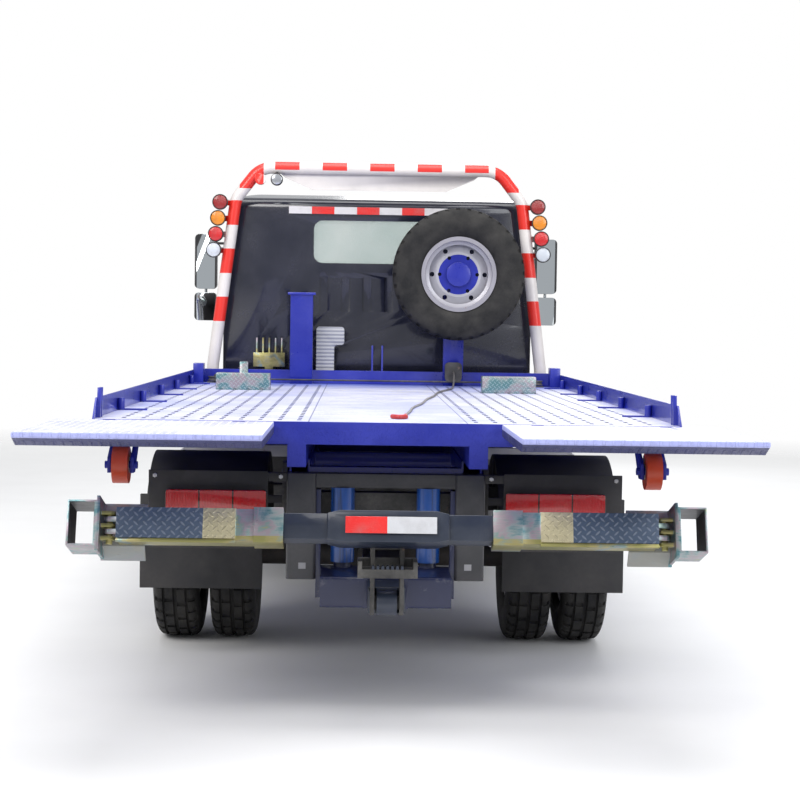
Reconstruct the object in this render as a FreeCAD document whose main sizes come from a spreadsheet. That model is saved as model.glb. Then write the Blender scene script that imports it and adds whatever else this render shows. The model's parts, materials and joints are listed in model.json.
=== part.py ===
import FreeCAD, Part
import Sketcher
import math
import os

from FreeCAD import Placement, Rotation, Vector

# Driving dimensions of the truck, in millimetres and degrees
SIZES = {
    # layout along the truck, from the ramps' tips to the bumper, and the clearances
    "ramp_length": 865, "rear_overhang": 1550, "wheelbase": 3360, "front_overhang": 1050,
    "bed_length": 4200, "fit_gap": 0.3, "move_gap": 8, "overrun": 20,
    # chassis ladder
    "rail_outer": 350, "rail_height": 200, "rail_flange": 60, "rail_wall": 8, "rail_top": 780,
    "rail_rear_reach": 1205, "member_height": 120, "member_length": 90, "pad_length": 160, "ear_thick": 20,
    "cab_pin": 14,
    # wheels
    "tyre_radius": 390, "tyre_width": 205, "tyre_shoulder": 28, "rim_half": 75, "rim_flange": 221,
    "rim_seat": 205, "rim_well": 182, "well_half": 30, "rim_wall": 7, "disc_wall": 12, "disc_recess": 62,
    "hub_radius": 82, "hub_reach": 70, "bore_radius": 72, "stud_circle": 111, "stud_radius": 11,
    "stud_count": 6, "stud_reach": 16, "nut_radius": 15, "vent_circle": 156, "vent_radius": 14,
    "vent_count": 6, "front_track": 1500, "dual_track": 1565, "dual_spacing": 250, "dual_hub_half": 155,
    "hub_cap": 40,
    # axles
    "kingpin": 590, "kingpin_radius": 16, "knuckle_width": 84, "knuckle_eye": 36, "yoke_thick": 26,
    "yoke_gap": 6, "drum_radius": 140, "drum_width": 50, "spindle_radius": 30, "beam_height": 80,
    "beam_width": 70, "beam_drop": 90, "axle_tube_radius": 62, "banjo_radius": 165, "banjo_depth": 190, "cover_radius": 105, "cover_reach": 50,
    "leaf_width": 60, "leaf_height": 44, "leaf_length": 1100, "leaf_inset": 340, "rear_leaf_inset": 430,
    "hanger_drop": 60, "seat_pad": 12,
    # engine, fuel tank and tool box
    "engine_length": 950, "engine_width": 520, "engine_height": 515, "engine_low": 400,
    "tank_length": 820, "tank_width": 380, "tank_height": 400, "tank_round": 70, "tank_low": 360,
    "box_length": 820, "box_width": 380, "box_height": 400, "box_round": 20, "box_forward": 230,
    "strap_width": 50, "strap_thick": 8, "filler_radius": 45, "filler_rise": 40,
    # bumper, front steps and tow eyes
    "bumper_low": 400, "bumper_top": 665, "bumper_half": 940, "bumper_depth": 120, "bumper_round": 45,
    "bumper_wall": 14, "bumper_beam_low": 560, "mouth_half": 330, "mouth_low": 470, "mouth_top": 600,
    "step_reach": 540, "step_inner": 690, "step_thick": 20, "tow_eye_x": 300, "tow_eye_radius": 18,
    "tow_eye_wall": 14,
    # side guards, rear guards and lamp boards
    "guard_rail_out": 1060, "guard_rail_height": 110, "guard_rail_depth": 30, "guard_rail_low": 420,
    "guard_rail_length": 1180, "guard_radius": 455, "guard_wall": 5, "guard_width": 520,
    "guard_inner": 512, "guard_arm_top": 700, "flap_low": 300, "flap_top": 700, "flap_thick": 8,
    "flap_behind": 150, "board_inner": 457, "board_outer": 918, "board_low": 560, "board_top": 862,
    "board_thick": 6, "board_tube": 16, "lamp_inner": 460, "lamp_width": 390, "lamp_height": 106,
    "lamp_depth": 42, "lamp_top": 790, "lamp_round": 12,
    # light gantry
    "gantry_tube": 36, "gantry_top": 2405, "gantry_top_half": 720, "gantry_bend_half": 868,
    "gantry_bend_height": 2178, "gantry_foot_half": 996, "gantry_knee": 1167, "gantry_foot": 850,
    "gantry_bend": 150, "gantry_offset": 62, "sign_height": 93, "sign_half": 430, "sign_curve": 210,
    "sign_thick": 4, "pod_count": 4, "lamp_pod_radius": 52, "lamp_pod_depth": 62, "lamp_pod_pitch": 96,
    "lamp_pod_top": 2154, "lamp_pod_out": 36, "work_lamp_radius": 34, "work_lamp_depth": 50,
    # intake duct and valve block
    "duct_x": 260, "duct_width": 110, "duct_depth": 90, "duct_rise": 1412, "duct_reach": 60,
    "valve_x": 655, "valve_low": 1165, "valve_width": 190, "valve_depth": 70, "valve_height": 85,
    "lever_radius": 6, "lever_length": 90, "lever_count": 5,
    # tilt frame and rams
    "tilt_back": 2100, "tilt_low": 795, "tilt_top": 900, "tilt_inner": 300, "tilt_width": 80,
    "tilt_wall": 8, "tilt_front_gap": 150, "tilt_member_top": 870, "tilt_pin": 25, "tilt_pin_reach": 30,
    "tilt_height": 835, "ram_radius": 48, "ram_rod": 28, "ram_x": 180, "ram_pin": 22, "ram_eye": 44,
    "ram_eye_radius": 50, "eye_play": 14, "ram_base_y": -620, "ram_base_z": 640, "ram_eye_y": 640,
    "ram_eye_z": 845,
    # bed
    "deck_top": 1070, "deck_half": 1100, "deck_plate": 8, "deck_frame": 77, "edge_width": 40,
    "rib_width": 50, "rear_beam": 85, "runner_inner": 305, "runner_width": 70, "rail_rise": 75,
    "rail_plate": 6, "cleat_post": 14, "cleat_rise": 50, "cleat_reach": 120, "cleat_thick": 7,
    "sill_inner": 1138, "sill_width": 40, "sill_height": 45, "sill_low": 962, "sill_pegs": 6,
    "peg_thick": 20,
    # headboard, posts and spare wheel
    "headboard_top": 1150, "headboard_thick": 60, "corner_width": 60, "corner_depth": 120,
    "corner_rise": 115, "stake_x": 455, "stake_width": 134, "stake_depth": 90, "stake_top": 1601,
    "stake_cap": 165, "stake_cap_thick": 14, "lug_plate_half": 35, "lug_plate_rise": 233, "lug_plate": 10,
    "carrier_width": 120, "carrier_depth": 60, "boss_reach": 20, "spare_x": 471, "spare_z": 1733,
    "spare_gap": 12,
    # winch, sheaves and wheel stops
    "sheave_radius": 50, "sheave_thick": 26, "sheave_groove": 9, "sheave_pin": 12, "sheave_rise": 12,
    "sheave_back": 70, "sheave_left": 960, "sheave_right": 944, "snatch_half": 50,
    "snatch_depth": 62.5, "snatch_low": 26, "snatch_height": 115, "winch_drum": 55, "winch_flange": 66,
    "winch_length": 420, "winch_flange_thick": 12, "winch_back": 190, "stop_length": 290,
    "stop_depth": 120, "stop_height": 90, "stop_wall": 8, "stop_left": 732, "stop_right": 701,
    "stop_back": 1042, "stop_post": 44, "stop_post_rise": 60,
    "rope_radius": 5, "hook_wire": 9, "hook_shank": 70, "hook_bend": 26,
    # ramps and their rollers
    "ramp_inner": 425, "ramp_outer": 1235, "ramp_thick": 46, "ramp_plate": 8, "ramp_rib": 36,
    "ramp_ribs": 7, "ramp_nose": 70, "ramp_tip": 14, "ramp_pin": 10, "ramp_pivot_gap": 30,
    "lug_width": 30, "eye_trim": 3, "pin_reach": 20, "caster_radius": 68, "caster_width": 58,
    "caster_x": 982, "caster_drop": 165, "caster_back": 62, "caster_bore": 14, "fork_gap": 36,
    "fork_thick": 12,
    # underlift: posts, carriage and boom
    "post_inner": 270, "post_width": 115, "post_depth": 90, "post_low": 443, "post_top": 855,
    "beam_deep": 55, "lift_rod_radius": 34, "lift_barrel_radius": 46, "lift_barrel_x": 167,
    "lift_barrel_low": 510, "block_half": 247, "block_low": 371, "block_top": 489, "block_reach": 242,
    "shoe_thick": 18, "boom_half": 85, "boom_wall": 10, "boom_reach": 702, "boom_inset": 120,
    "inner_half": 68, "inner_height": 96, "fold_half": 61, "fold_plate": 16, "fold_width": 90,
    "fold_pin": 24, "fold_ahead": 80, "swivel_radius": 20, "step_half": 107, "step_depth": 80,
    "step_drop": 95, "step_strap": 60,
    # underlift: crossbar, sliding arms and brackets
    "bar_reach": 557, "bar_rise": 705, "bar_lean": 18, "bar_half": 860, "bar_height": 93,
    "bar_depth": 90, "bar_wall": 8, "hub_half": 216, "hub_height": 114, "hub_depth": 120,
    "hub_taper": 45, "collar_start": 372, "collar_length": 105, "collar_wall": 16, "sleeve_wall": 10,
    "sleeve_reach": 960, "tread_length": 421, "tread_thick": 10, "lug_radius": 20, "lug_pitch": 32,
    "lug_thick": 19, "lug_clear": 6, "lug_leaf": 14, "bracket_pin": 12, "bracket_pin_x": 990,
    "bracket_plate_x": 1020, "bracket_plate": 12, "lug_reach": 1134, "socket_height": 165,
    "socket_wall": 8, "socket_back": 60, "socket_front": 110, "cradle_length": 150, "cradle_gap": 9,
    "cradle_rise": 60, "cradle_flare": 45, "cradle_thick": 8,
    # cab shell
    "cab_half": 940, "cab_rear_gap": 130, "cab_front": 77, "cab_roof": 2275, "cab_roof_rear": 2190,
    "cab_low": 740, "cab_rear_low": 1010, "foot_ahead": 385, "foot_round": 160, "cab_wall": 42,
    "cab_round": 110, "cab_edge": 60, "cab_shoulder": 1420, "cab_roof_inset": 90, "screen_foot": 1480,
    "screen_top_back": 380, "screen_drop": 75, "brow_length": 250, "screen_frame": 130,
    "tunnel_half": 470, "tunnel_top": 800, "lip_thick": 20, "cab_hinge_back": 122,
    "cab_hinge_height": 760, "cab_hinge_radius": 26, "cab_hinge_x": 420, "side_reach": 250,
    "rear_window_half": 395, "rear_window_low": 1801, "rear_window_top": 2061, "window_round": 55,
    "rib_count": 6, "rib_half": 28, "rib_depth": 14, "rib_low": 1505, "rib_rise": 215,
    "grille_bars": 5, "grille_low": 880, "grille_top": 1180,
    # doors, glass and cab fittings
    "door_gap": 8, "door_rear": 480, "door_front": 395, "door_low": 790, "door_kick": 1060,
    "door_foot": 150, "door_lean": 90, "door_top": 2110, "window_low": 1500, "window_top": 2030,
    "window_frame": 80, "handle_low": 1360, "handle_length": 150, "handle_depth": 22,
    "glass_inset": 15, "glass_thick": 6, "dash_depth": 330, "dash_height": 400, "driver_x": 480,
    "seat_width": 450, "seat_depth": 480, "seat_height": 130, "seat_back_height": 560,
    "seat_back_thick": 120, "seat_gap": 20, "seat_round": 40, "wheel_ring": 215, "wheel_grip": 15,
    "column_radius": 22, "column_length": 260, "column_inset": 60, "wheel_tilt": 28,
    "mirror_outer": 1230, "mirror_width": 150, "mirror_height": 370, "mirror_depth": 70,
    "mirror_small": 190, "mirror_gap": 25, "mirror_top": 2024, "mirror_back": 325, "mirror_round": 30,
    "headlamp_inner": 590, "headlamp_width": 300, "headlamp_height": 150, "headlamp_low": 790,
    "headlamp_depth": 20,
}

doc = FreeCAD.newDocument("FlatbedTowTruck")
sheet = doc.addObject("Spreadsheet::Sheet", "Sizes")
for row, (word, number) in enumerate(SIZES.items(), start=1):
    sheet.set(f"A{row}", word)
    sheet.set(f"B{row}", str(number))
    sheet.setAlias(f"B{row}", word)
doc.recompute()


class Size:
    """A length or number that keeps its value and the sheet formula it comes from."""

    def __init__(self, value, formula):
        self.value = float(value)
        self.formula = formula

    def __add__(self, other):
        other = sized(other)
        return Size(self.value + other.value, f"({self.formula} + {other.formula})")

    def __radd__(self, other):
        return sized(other) + self

    def __sub__(self, other):
        other = sized(other)
        return Size(self.value - other.value, f"({self.formula} - {other.formula})")

    def __rsub__(self, other):
        return sized(other) - self

    def __mul__(self, other):
        other = sized(other)
        return Size(self.value * other.value, f"({self.formula} * {other.formula})")

    def __rmul__(self, other):
        return sized(other) * self

    def __truediv__(self, other):
        other = sized(other)
        return Size(self.value / other.value, f"({self.formula} / {other.formula})")

    def __neg__(self):
        return Size(-self.value, f"(0 - {self.formula})")


def sized(item):
    return item if isinstance(item, Size) else Size(item, f"({item})")


def cosine(angle):
    return Size(math.cos(math.radians(angle.value)), f"cos({angle.formula})")


def sine(angle):
    return Size(math.sin(math.radians(angle.value)), f"sin({angle.formula})")


class Sheet:
    """Each size of the sheet as an attribute."""

    def __getattr__(self, word):
        return Size(SIZES[word], f"Sizes.{word}")


s = Sheet()
AXES = {"X": Vector(1, 0, 0), "Y": Vector(0, 1, 0), "Z": Vector(0, 0, 1)}
TURNS = {"X": Rotation(AXES["Y"], 90), "Y": Rotation(AXES["X"], -90), "Z": Rotation()}
nodes = {}


def bind(item, name, value):
    value = sized(value)
    item.setExpression(name, value.formula)


def place(item, x=0, y=0, z=0):
    x, y, z = sized(x), sized(y), sized(z)
    item.Placement = Placement(Vector(x.value, y.value, z.value), item.Placement.Rotation)
    for axis, value in zip("xyz", (x, y, z)):
        bind(item, f"Placement.Base.{axis}", value)
    return item


def lean(item, axis, angle):
    """Turn an item about one axis by an angle of the sheet."""
    item.Placement.Rotation = Rotation(AXES[axis], angle.value)
    bind(item, "Placement.Rotation.Angle", angle)
    return item


def block(x0, x1, y0, y1, z0, z1):
    box = doc.addObject("Part::Box", "Block")
    for name, low, high in (("Length", x0, x1), ("Width", y0, y1), ("Height", z0, z1)):
        bind(box, name, sized(high) - low)
    return place(box, x0, y0, z0)


def rod(axis, radius, start, length, a, b):
    """A round bar along an axis; a and b are its other two coordinates, in XYZ order."""
    bar = doc.addObject("Part::Cylinder", "Rod")
    bind(bar, "Radius", radius)
    bind(bar, "Height", length)
    bar.Placement.Rotation = TURNS[axis]
    spots = {"X": (start, a, b), "Y": (a, start, b), "Z": (a, b, start)}
    return place(bar, *spots[axis])


def pipe(axis, radius, bore, start, length, a, b):
    outer = rod(axis, radius, start, length, a, b)
    hole = rod(axis, bore, sized(start) - s.overrun, sized(length) + 2 * s.overrun, a, b)
    return cut(outer, [hole])


def sketch_on(body, plane, points):
    """A closed outline whose corners are all dimensioned from the sheet."""
    sketch = body.newObject("Sketcher::SketchObject", "Outline")
    origin = [item for item in body.Origin.OriginFeatures if item.Role == plane][0]
    sketch.AttachmentSupport = (origin, [""])
    sketch.MapMode = "FlatFace"
    corners = [(sized(a), sized(b)) for a, b in points]
    spots = [Vector(a.value, b.value, 0) for a, b in corners]
    count = len(spots)
    lines = [Part.LineSegment(spots[i], spots[(i + 1) % count]) for i in range(count)]
    sketch.addGeometry(lines, False)
    for i in range(count):
        sketch.addConstraint(Sketcher.Constraint("Coincident", i, 2, (i + 1) % count, 1))
    for i, (a, b) in enumerate(corners):
        for kind, value in (("DistanceX", a), ("DistanceY", b)):
            constraint = Sketcher.Constraint(kind, -1, 1, i, 1, value.value)
            index = sketch.addConstraint(constraint)
            sketch.setExpression(f"Constraints[{index}]", value.formula)
    return sketch


def outline(plane, points, start, length):
    """A plate or bar: an outline on XY, XZ or YZ, drawn along the third axis from start."""
    body = doc.addObject("PartDesign::Body", "Profile")
    sketch = sketch_on(body, f"{plane}_Plane", points)
    pad = body.newObject("PartDesign::Pad", "Pad")
    pad.Profile = sketch
    bind(pad, "Length", length)
    if plane == "XZ":
        return place(body, 0, sized(start) + length, 0)
    return place(body, 0, 0, start) if plane == "XY" else place(body, start, 0, 0)


def revolve(points):
    """A ring about X from an outline of distance along X and radius."""
    body = doc.addObject("PartDesign::Body", "Ring")
    sketch = sketch_on(body, "XY_Plane", points)
    ring = body.newObject("PartDesign::Revolution", "Revolution")
    ring.Profile = sketch
    ring.ReferenceAxis = (sketch, ["H_Axis"])
    ring.Angle = 360
    return body


def fuse(items):
    if len(items) == 1:
        return items[0]
    union = doc.addObject("Part::MultiFuse", "Union")
    union.Shapes = items
    union.Refine = True
    return union


def cut(base, tools):
    result = doc.addObject("Part::Cut", "Cut")
    result.Base = base
    result.Tool = fuse(tools)
    return result


def common(first, second):
    result = doc.addObject("Part::MultiCommon", "Common")
    result.Shapes = [first, second]
    return result


def group(items):
    """Pieces of one node that don't touch."""
    result = doc.addObject("Part::Compound", "Group")
    result.Links = items
    return result


def mirrored(item, normal=AXES["X"]):
    copy = doc.addObject("Part::Mirroring", "Mirror")
    copy.Source = item
    copy.Normal = normal
    return copy


def both_sides(item):
    return [item, mirrored(item)]


def rounded(item, radius, wanted):
    """Fillet the straight edges whose two ends satisfy a test."""
    doc.recompute()
    result = doc.addObject("Part::Fillet", "Rounded")
    result.Base = item
    picks = []
    for number, edge in enumerate(item.Shape.Edges, start=1):
        ends = [vertex.Point for vertex in edge.Vertexes]
        if len(ends) == 2 and edge.Curve.TypeId == "Part::GeomLine" and wanted(ends[0], ends[1]):
            picks.append((number, radius.value, radius.value))
    result.Edges = picks
    return result


def along(axis):
    """A test for edges that run along one axis."""
    direction = AXES[axis]
    return lambda a, b: (b - a).cross(direction).Length < (b - a).Length / 1000


def node(name, item):
    item.Label = name
    nodes[name] = item
    return item


# Layout: the origin is on the floor, at the middle of the truck's length and width
overall = s.ramp_length + s.rear_overhang + s.wheelbase + s.front_overhang
front_end = overall / 2
bed_rear = s.ramp_length - overall / 2
rear_axle_y = bed_rear + s.rear_overhang
front_axle_y = rear_axle_y + s.wheelbase
bed_front = bed_rear + s.bed_length
cab_rear = bed_front + s.cab_rear_gap
cab_nose = front_end - s.cab_front
axle_z = s.tyre_radius
rail_rear = rear_axle_y - s.rail_rear_reach
rail_front = front_end - s.bumper_depth
rail_low = s.rail_top - s.rail_height


def ring_of(count, radius, make):
    """Copies of a piece spaced evenly round X; make builds one at its Y and Z."""
    step = Size(360, "360") / count
    turns = [step * i for i in range(int(count.value))]
    return [make(radius * cosine(turn), radius * sine(turn)) for turn in turns]


def tube_path(points, radius, bends, bore=None):
    """A round bar along straight runs joined by tangent arcs."""
    spots = [Vector(*(sized(value).value for value in point)) for point in points]
    pieces = []
    start = spots[0]
    for before, corner, after, bend in zip(spots, spots[1:], spots[2:], bends):
        into = (corner - before).normalize()
        out = (after - corner).normalize()
        half = into.getAngle(out) / 2
        reach = sized(bend).value * math.tan(half)
        first = corner - into * reach
        last = corner + out * reach
        inward = (out - into).normalize()
        middle = corner + inward * (sized(bend).value / math.cos(half) - sized(bend).value)
        pieces.append(Part.LineSegment(start, first).toShape())
        pieces.append(Part.Arc(first, middle, last).toShape())
        start = last
    pieces.append(Part.LineSegment(start, spots[-1]).toShape())
    spine = Part.Wire(pieces)
    heading = (spots[1] - spots[0]).normalize()

    def swept(size):
        section = Part.Wire(Part.makeCircle(sized(size).value, spots[0], heading))
        return spine.makePipeShell([section], True, False)

    bar = doc.addObject("Part::Feature", "TubePath")
    bar.Shape = swept(radius) if bore is None else swept(radius).cut(swept(bore))
    return bar


# Chassis ladder: two channel rails, cross members, and the brackets that carry the rest
def build_chassis_frame():
    web = s.rail_outer - s.rail_wall
    lip = s.rail_outer - s.rail_flange
    low_lip = rail_low + s.rail_wall
    top_lip = s.rail_top - s.rail_wall
    channel = [
        (s.rail_outer, rail_low), (s.rail_outer, s.rail_top), (lip, s.rail_top), (lip, top_lip),
        (web, top_lip), (web, low_lip), (lip, low_lip), (lip, rail_low),
    ]
    right_rail = outline("XZ", channel, rail_rear, rail_front - rail_rear)
    pieces = both_sides(right_rail)
    length = rail_front - rail_rear
    for share in MEMBER_SHARES:
        y = rail_rear + length * share
        low = top_lip - s.member_height
        pieces.append(block(-web, web, y, y + s.member_length, low, top_lip))
    pieces.append(rod("X", s.ram_pin, -web, 2 * web, s.ram_base_y, s.ram_base_z))
    for side in (1, -1):
        pieces += frame_brackets(side)
    return node("chassis_frame", fuse(pieces))


def frame_brackets(side):
    """Bed pads, tilt hinge ears, spring hangers and the cab's hinge pins of one side."""
    def span(inner, outer):
        return (inner, outer) if side > 0 else (-outer, -inner)

    pieces = []
    pad_top = s.tilt_low - s.fit_gap
    for share in PAD_SHARES:
        y = rail_rear + (rail_front - rail_rear) * share
        pieces.append(block(*span(s.tilt_inner, s.rail_outer), y, y + s.pad_length, s.rail_top, pad_top))
    ear_y = -s.tilt_back
    ear_half = s.tilt_pin * 2
    ear_inner = s.tilt_inner + s.tilt_width + s.move_gap
    ear_outer = ear_inner + s.ear_thick
    ear_top = s.tilt_height + ear_half
    foot = block(*span(s.rail_outer, ear_outer), ear_y - ear_half, ear_y + ear_half, rail_low + s.rail_wall,
                 s.rail_top)
    ear = block(*span(ear_inner, ear_outer), ear_y - ear_half, ear_y + ear_half, s.rail_top, ear_top)
    bore_start = ear_inner if side > 0 else -ear_outer
    bore = rod("X", s.tilt_pin + s.fit_gap, bore_start - s.overrun, s.ear_thick + 2 * s.overrun, ear_y,
               s.tilt_height)
    pieces.append(cut(fuse([foot, ear]), [bore]))
    for axle_y, inset in ((front_axle_y, s.leaf_inset), (rear_axle_y, s.rear_leaf_inset)):
        pieces += spring_hangers(span, axle_y, inset)
    hinge_start, hinge_stop = span(s.rail_outer, s.cab_hinge_x + s.cab_hinge_radius)
    pieces.append(rod("X", s.cab_pin, hinge_start, hinge_stop - hinge_start, cab_hinge_y, s.cab_hinge_height))
    return pieces


def spring_hangers(span, axle_y, inset):
    """Brackets over the two ends of one leaf spring, with the spring's eye pins."""
    pieces = []
    half = s.leaf_width / 2
    for end in (-1, 1):
        y = axle_y + s.leaf_length / 2 * end
        inner, outer = inset - half, inset + half
        pieces.append(block(*span(s.rail_outer - s.rail_flange, outer), y - half, y + half,
                            rail_low - s.hanger_drop, rail_low))
    return pieces


MEMBER_SHARES = (0.004, 0.165, 0.255, 0.53, 0.64, 0.69, 0.975)
PAD_SHARES = (0.09, 0.35, 0.62)
cab_hinge_y = front_end - s.cab_hinge_back
leaf_top = rail_low - s.hanger_drop


def leaf_spring(x, axle_y, seat_z):
    """A stack of curved leaves from hanger to hanger, resting on its axle at the middle."""
    half = (s.leaf_length / 2 + s.leaf_width / 2).value
    middle_z = (seat_z + s.leaf_height).value
    rise = leaf_top.value - middle_z
    bow = (half ** 2 + rise ** 2) / (2 * rise)
    centre = Vector((x - s.leaf_width / 2).value, axle_y.value, middle_z + bow)
    leaf = s.leaf_height.value / LEAF_COUNT
    full_turn = math.asin(half / bow)
    solids = []
    for i in range(LEAF_COUNT):
        turn = full_turn * (1 - LEAF_STEP_SHARE * i)
        arcs = []
        for radius in (bow + leaf * i, bow + leaf * (i + 1)):
            spots = [centre + Vector(0, radius * math.sin(angle), -radius * math.cos(angle))
                     for angle in (-turn, 0, turn)]
            arcs.append(Part.Arc(*spots).toShape())
        ends = [Part.LineSegment(arcs[0].Vertexes[k].Point, arcs[1].Vertexes[k].Point).toShape()
                for k in (0, 1)]
        face = Part.Face(Part.Wire([arcs[0], ends[1], arcs[1], ends[0]]))
        solids.append(face.extrude(Vector(s.leaf_width.value, 0, 0)))
    spring = doc.addObject("Part::Feature", "LeafSpring")
    spring.Shape = solids[0].multiFuse(solids[1:])
    return spring


LEAF_COUNT = 4
LEAF_STEP_SHARE = 0.2


def build_front_axle():
    beam_half = s.kingpin
    drop = axle_z - s.beam_drop
    half = s.beam_height / 2
    low_x = s.leaf_inset + s.leaf_width / 2 + s.seat_pad
    high_x = low_x + s.beam_height
    inset = half / 2
    profile = [
        (-beam_half, axle_z - half), (-high_x, axle_z - half), (-low_x, drop - half), (low_x, drop - half),
        (high_x, axle_z - half), (beam_half, axle_z - half), (beam_half, axle_z + half),
        (high_x - inset, axle_z + half), (low_x - inset, drop + half), (inset - low_x, drop + half),
        (inset - high_x, axle_z + half), (-beam_half, axle_z + half),
    ]
    beam = outline("XZ", profile, front_axle_y - s.beam_width / 2, s.beam_width)
    pieces = [beam]
    seat_z = drop + half + s.seat_pad
    for side in (1, -1):
        x = s.leaf_inset * side
        boss_low = axle_z - half
        pieces.append(rod("Z", s.knuckle_eye, boss_low, s.beam_height, s.kingpin * side, front_axle_y))
        pin_low = boss_low - s.yoke_thick - s.yoke_gap
        pin_length = s.beam_height + 2 * (s.yoke_thick + s.yoke_gap)
        pieces.append(rod("Z", s.kingpin_radius, pin_low, pin_length, s.kingpin * side, front_axle_y))
        pieces.append(block(x - s.leaf_width / 2, x + s.leaf_width / 2, front_axle_y - s.leaf_width,
                            front_axle_y + s.leaf_width, drop, seat_z))
        pieces.append(leaf_spring(x, front_axle_y, seat_z))
    return node("front_axle", fuse(pieces))


def build_rear_axle():
    half = dual_hub_inner
    tube = rod("X", s.axle_tube_radius, -half, 2 * half, rear_axle_y, axle_z)
    back = rear_axle_y - s.banjo_depth / 2
    housing = rod("Y", s.banjo_radius, back, s.banjo_depth, 0, axle_z)
    cover = rod("Y", s.cover_radius, back - s.cover_reach, s.banjo_depth + 2 * s.cover_reach, 0, axle_z)
    pieces = [tube, housing, cover]
    seat_z = axle_z + s.axle_tube_radius + s.seat_pad / 2
    for side in (1, -1):
        x = s.rear_leaf_inset * side
        pieces.append(rod("X", s.spindle_radius, half * side if side > 0 else -dual_hub_outer,
                          dual_hub_outer - half, rear_axle_y, axle_z))
        pieces.append(block(x - s.leaf_width / 2, x + s.leaf_width / 2, rear_axle_y - s.leaf_width,
                            rear_axle_y + s.leaf_width, axle_z, seat_z))
        pieces.append(leaf_spring(x, rear_axle_y, seat_z))
    return node("rear_axle", fuse(pieces))


# Wheels: every rim and tyre is the same turned section, placed along X
def rim_ring():
    edge = s.rim_half
    flange = s.rim_flange
    seat = s.rim_seat
    well = s.rim_well
    wall = s.rim_wall
    inner = edge - wall
    slope = s.well_half + wall
    section = [
        (-edge, flange), (-inner, flange), (-inner, seat), (-slope, seat - wall / 2), (-s.well_half, well),
        (s.well_half, well), (slope, seat - wall / 2), (inner, seat), (inner, flange), (edge, flange),
        (edge, seat - wall), (slope + wall, seat - wall * 3 / 2), (s.well_half + wall, well - wall),
        (-s.well_half - wall, well - wall), (-slope - wall, seat - wall * 3 / 2), (-edge, seat - wall),
    ]
    return revolve(section)


def rim_disc(face, side):
    """The dished disc of a rim: face is its outer face along X, side the way it looks."""
    inner = s.rim_well - s.rim_wall / 2
    cone = s.stud_circle + s.stud_radius * 2
    back = face - s.disc_wall * side
    section = [
        (face, s.bore_radius), (face, cone), (back - s.disc_wall * side, inner),
        (back - s.disc_wall * 2 * side, inner), (back, cone - s.disc_wall / 2), (back, s.bore_radius),
    ]
    return revolve(section if side > 0 else section[::-1])


def disc_holes(centre, face, side, bare):
    """Vents through a disc's cone, and stud holes where it is bare."""
    length = s.disc_wall * 4 + 2 * s.overrun
    start = centre + face - length / 2
    holes = ring_of(s.vent_count, s.vent_circle,
                    lambda a, b: rod("X", s.vent_radius, start, length, a, b))
    if bare:
        holes += ring_of(s.stud_count, s.stud_circle,
                         lambda a, b: rod("X", s.stud_radius, start, length, a, b))
    return holes


def wheel_nuts(face, side):
    start = face - s.rim_wall if side > 0 else face - s.stud_reach
    return ring_of(s.stud_count, s.stud_circle,
                   lambda a, b: rod("X", s.nut_radius, start, s.stud_reach + s.rim_wall, a, b))


def rim(side, fitted="hub"):
    """One rim about X at the origin, its disc's face looking to the given side: on its hub, plain or bare."""
    face = (s.rim_half - s.disc_recess) * side
    body = cut(fuse([rim_ring(), rim_disc(face, side)]), disc_holes(0, face, side, fitted == "bare"))
    if fitted != "hub":
        return body
    cap_start = face if side > 0 else face - s.hub_reach
    hub = rod("X", s.hub_radius, cap_start - s.disc_wall * side, s.hub_reach, 0, 0)
    return fuse([body, hub] + wheel_nuts(face, side))


def tyre():
    half = s.tyre_width / 2
    edge = s.rim_half - s.rim_wall - s.fit_gap
    seat = s.rim_seat + s.fit_gap
    flange = s.rim_flange + s.fit_gap * 10
    tread = s.tyre_radius
    shoulder = s.tyre_shoulder
    waist = (flange + tread) / 2
    profile = [
        (-edge, seat), (-edge, flange), (-half + shoulder / 3, flange + shoulder), (-half, waist),
        (-half + shoulder / 4, tread - shoulder), (-half + shoulder, tread), (half - shoulder, tread),
        (half - shoulder / 4, tread - shoulder), (half, waist), (half - shoulder / 3, flange + shoulder),
        (edge, flange), (edge, seat),
    ]
    return revolve(profile)


def build_front_wheels():
    for word, side in SIDES:
        x = s.front_track / 2 * side
        node(f"front_rim_{word}", place(rim(side), x, front_axle_y, axle_z))
        node(f"front_tyre_{word}", place(tyre(), x, front_axle_y, axle_z))
        build_knuckle(word, side)


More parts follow.
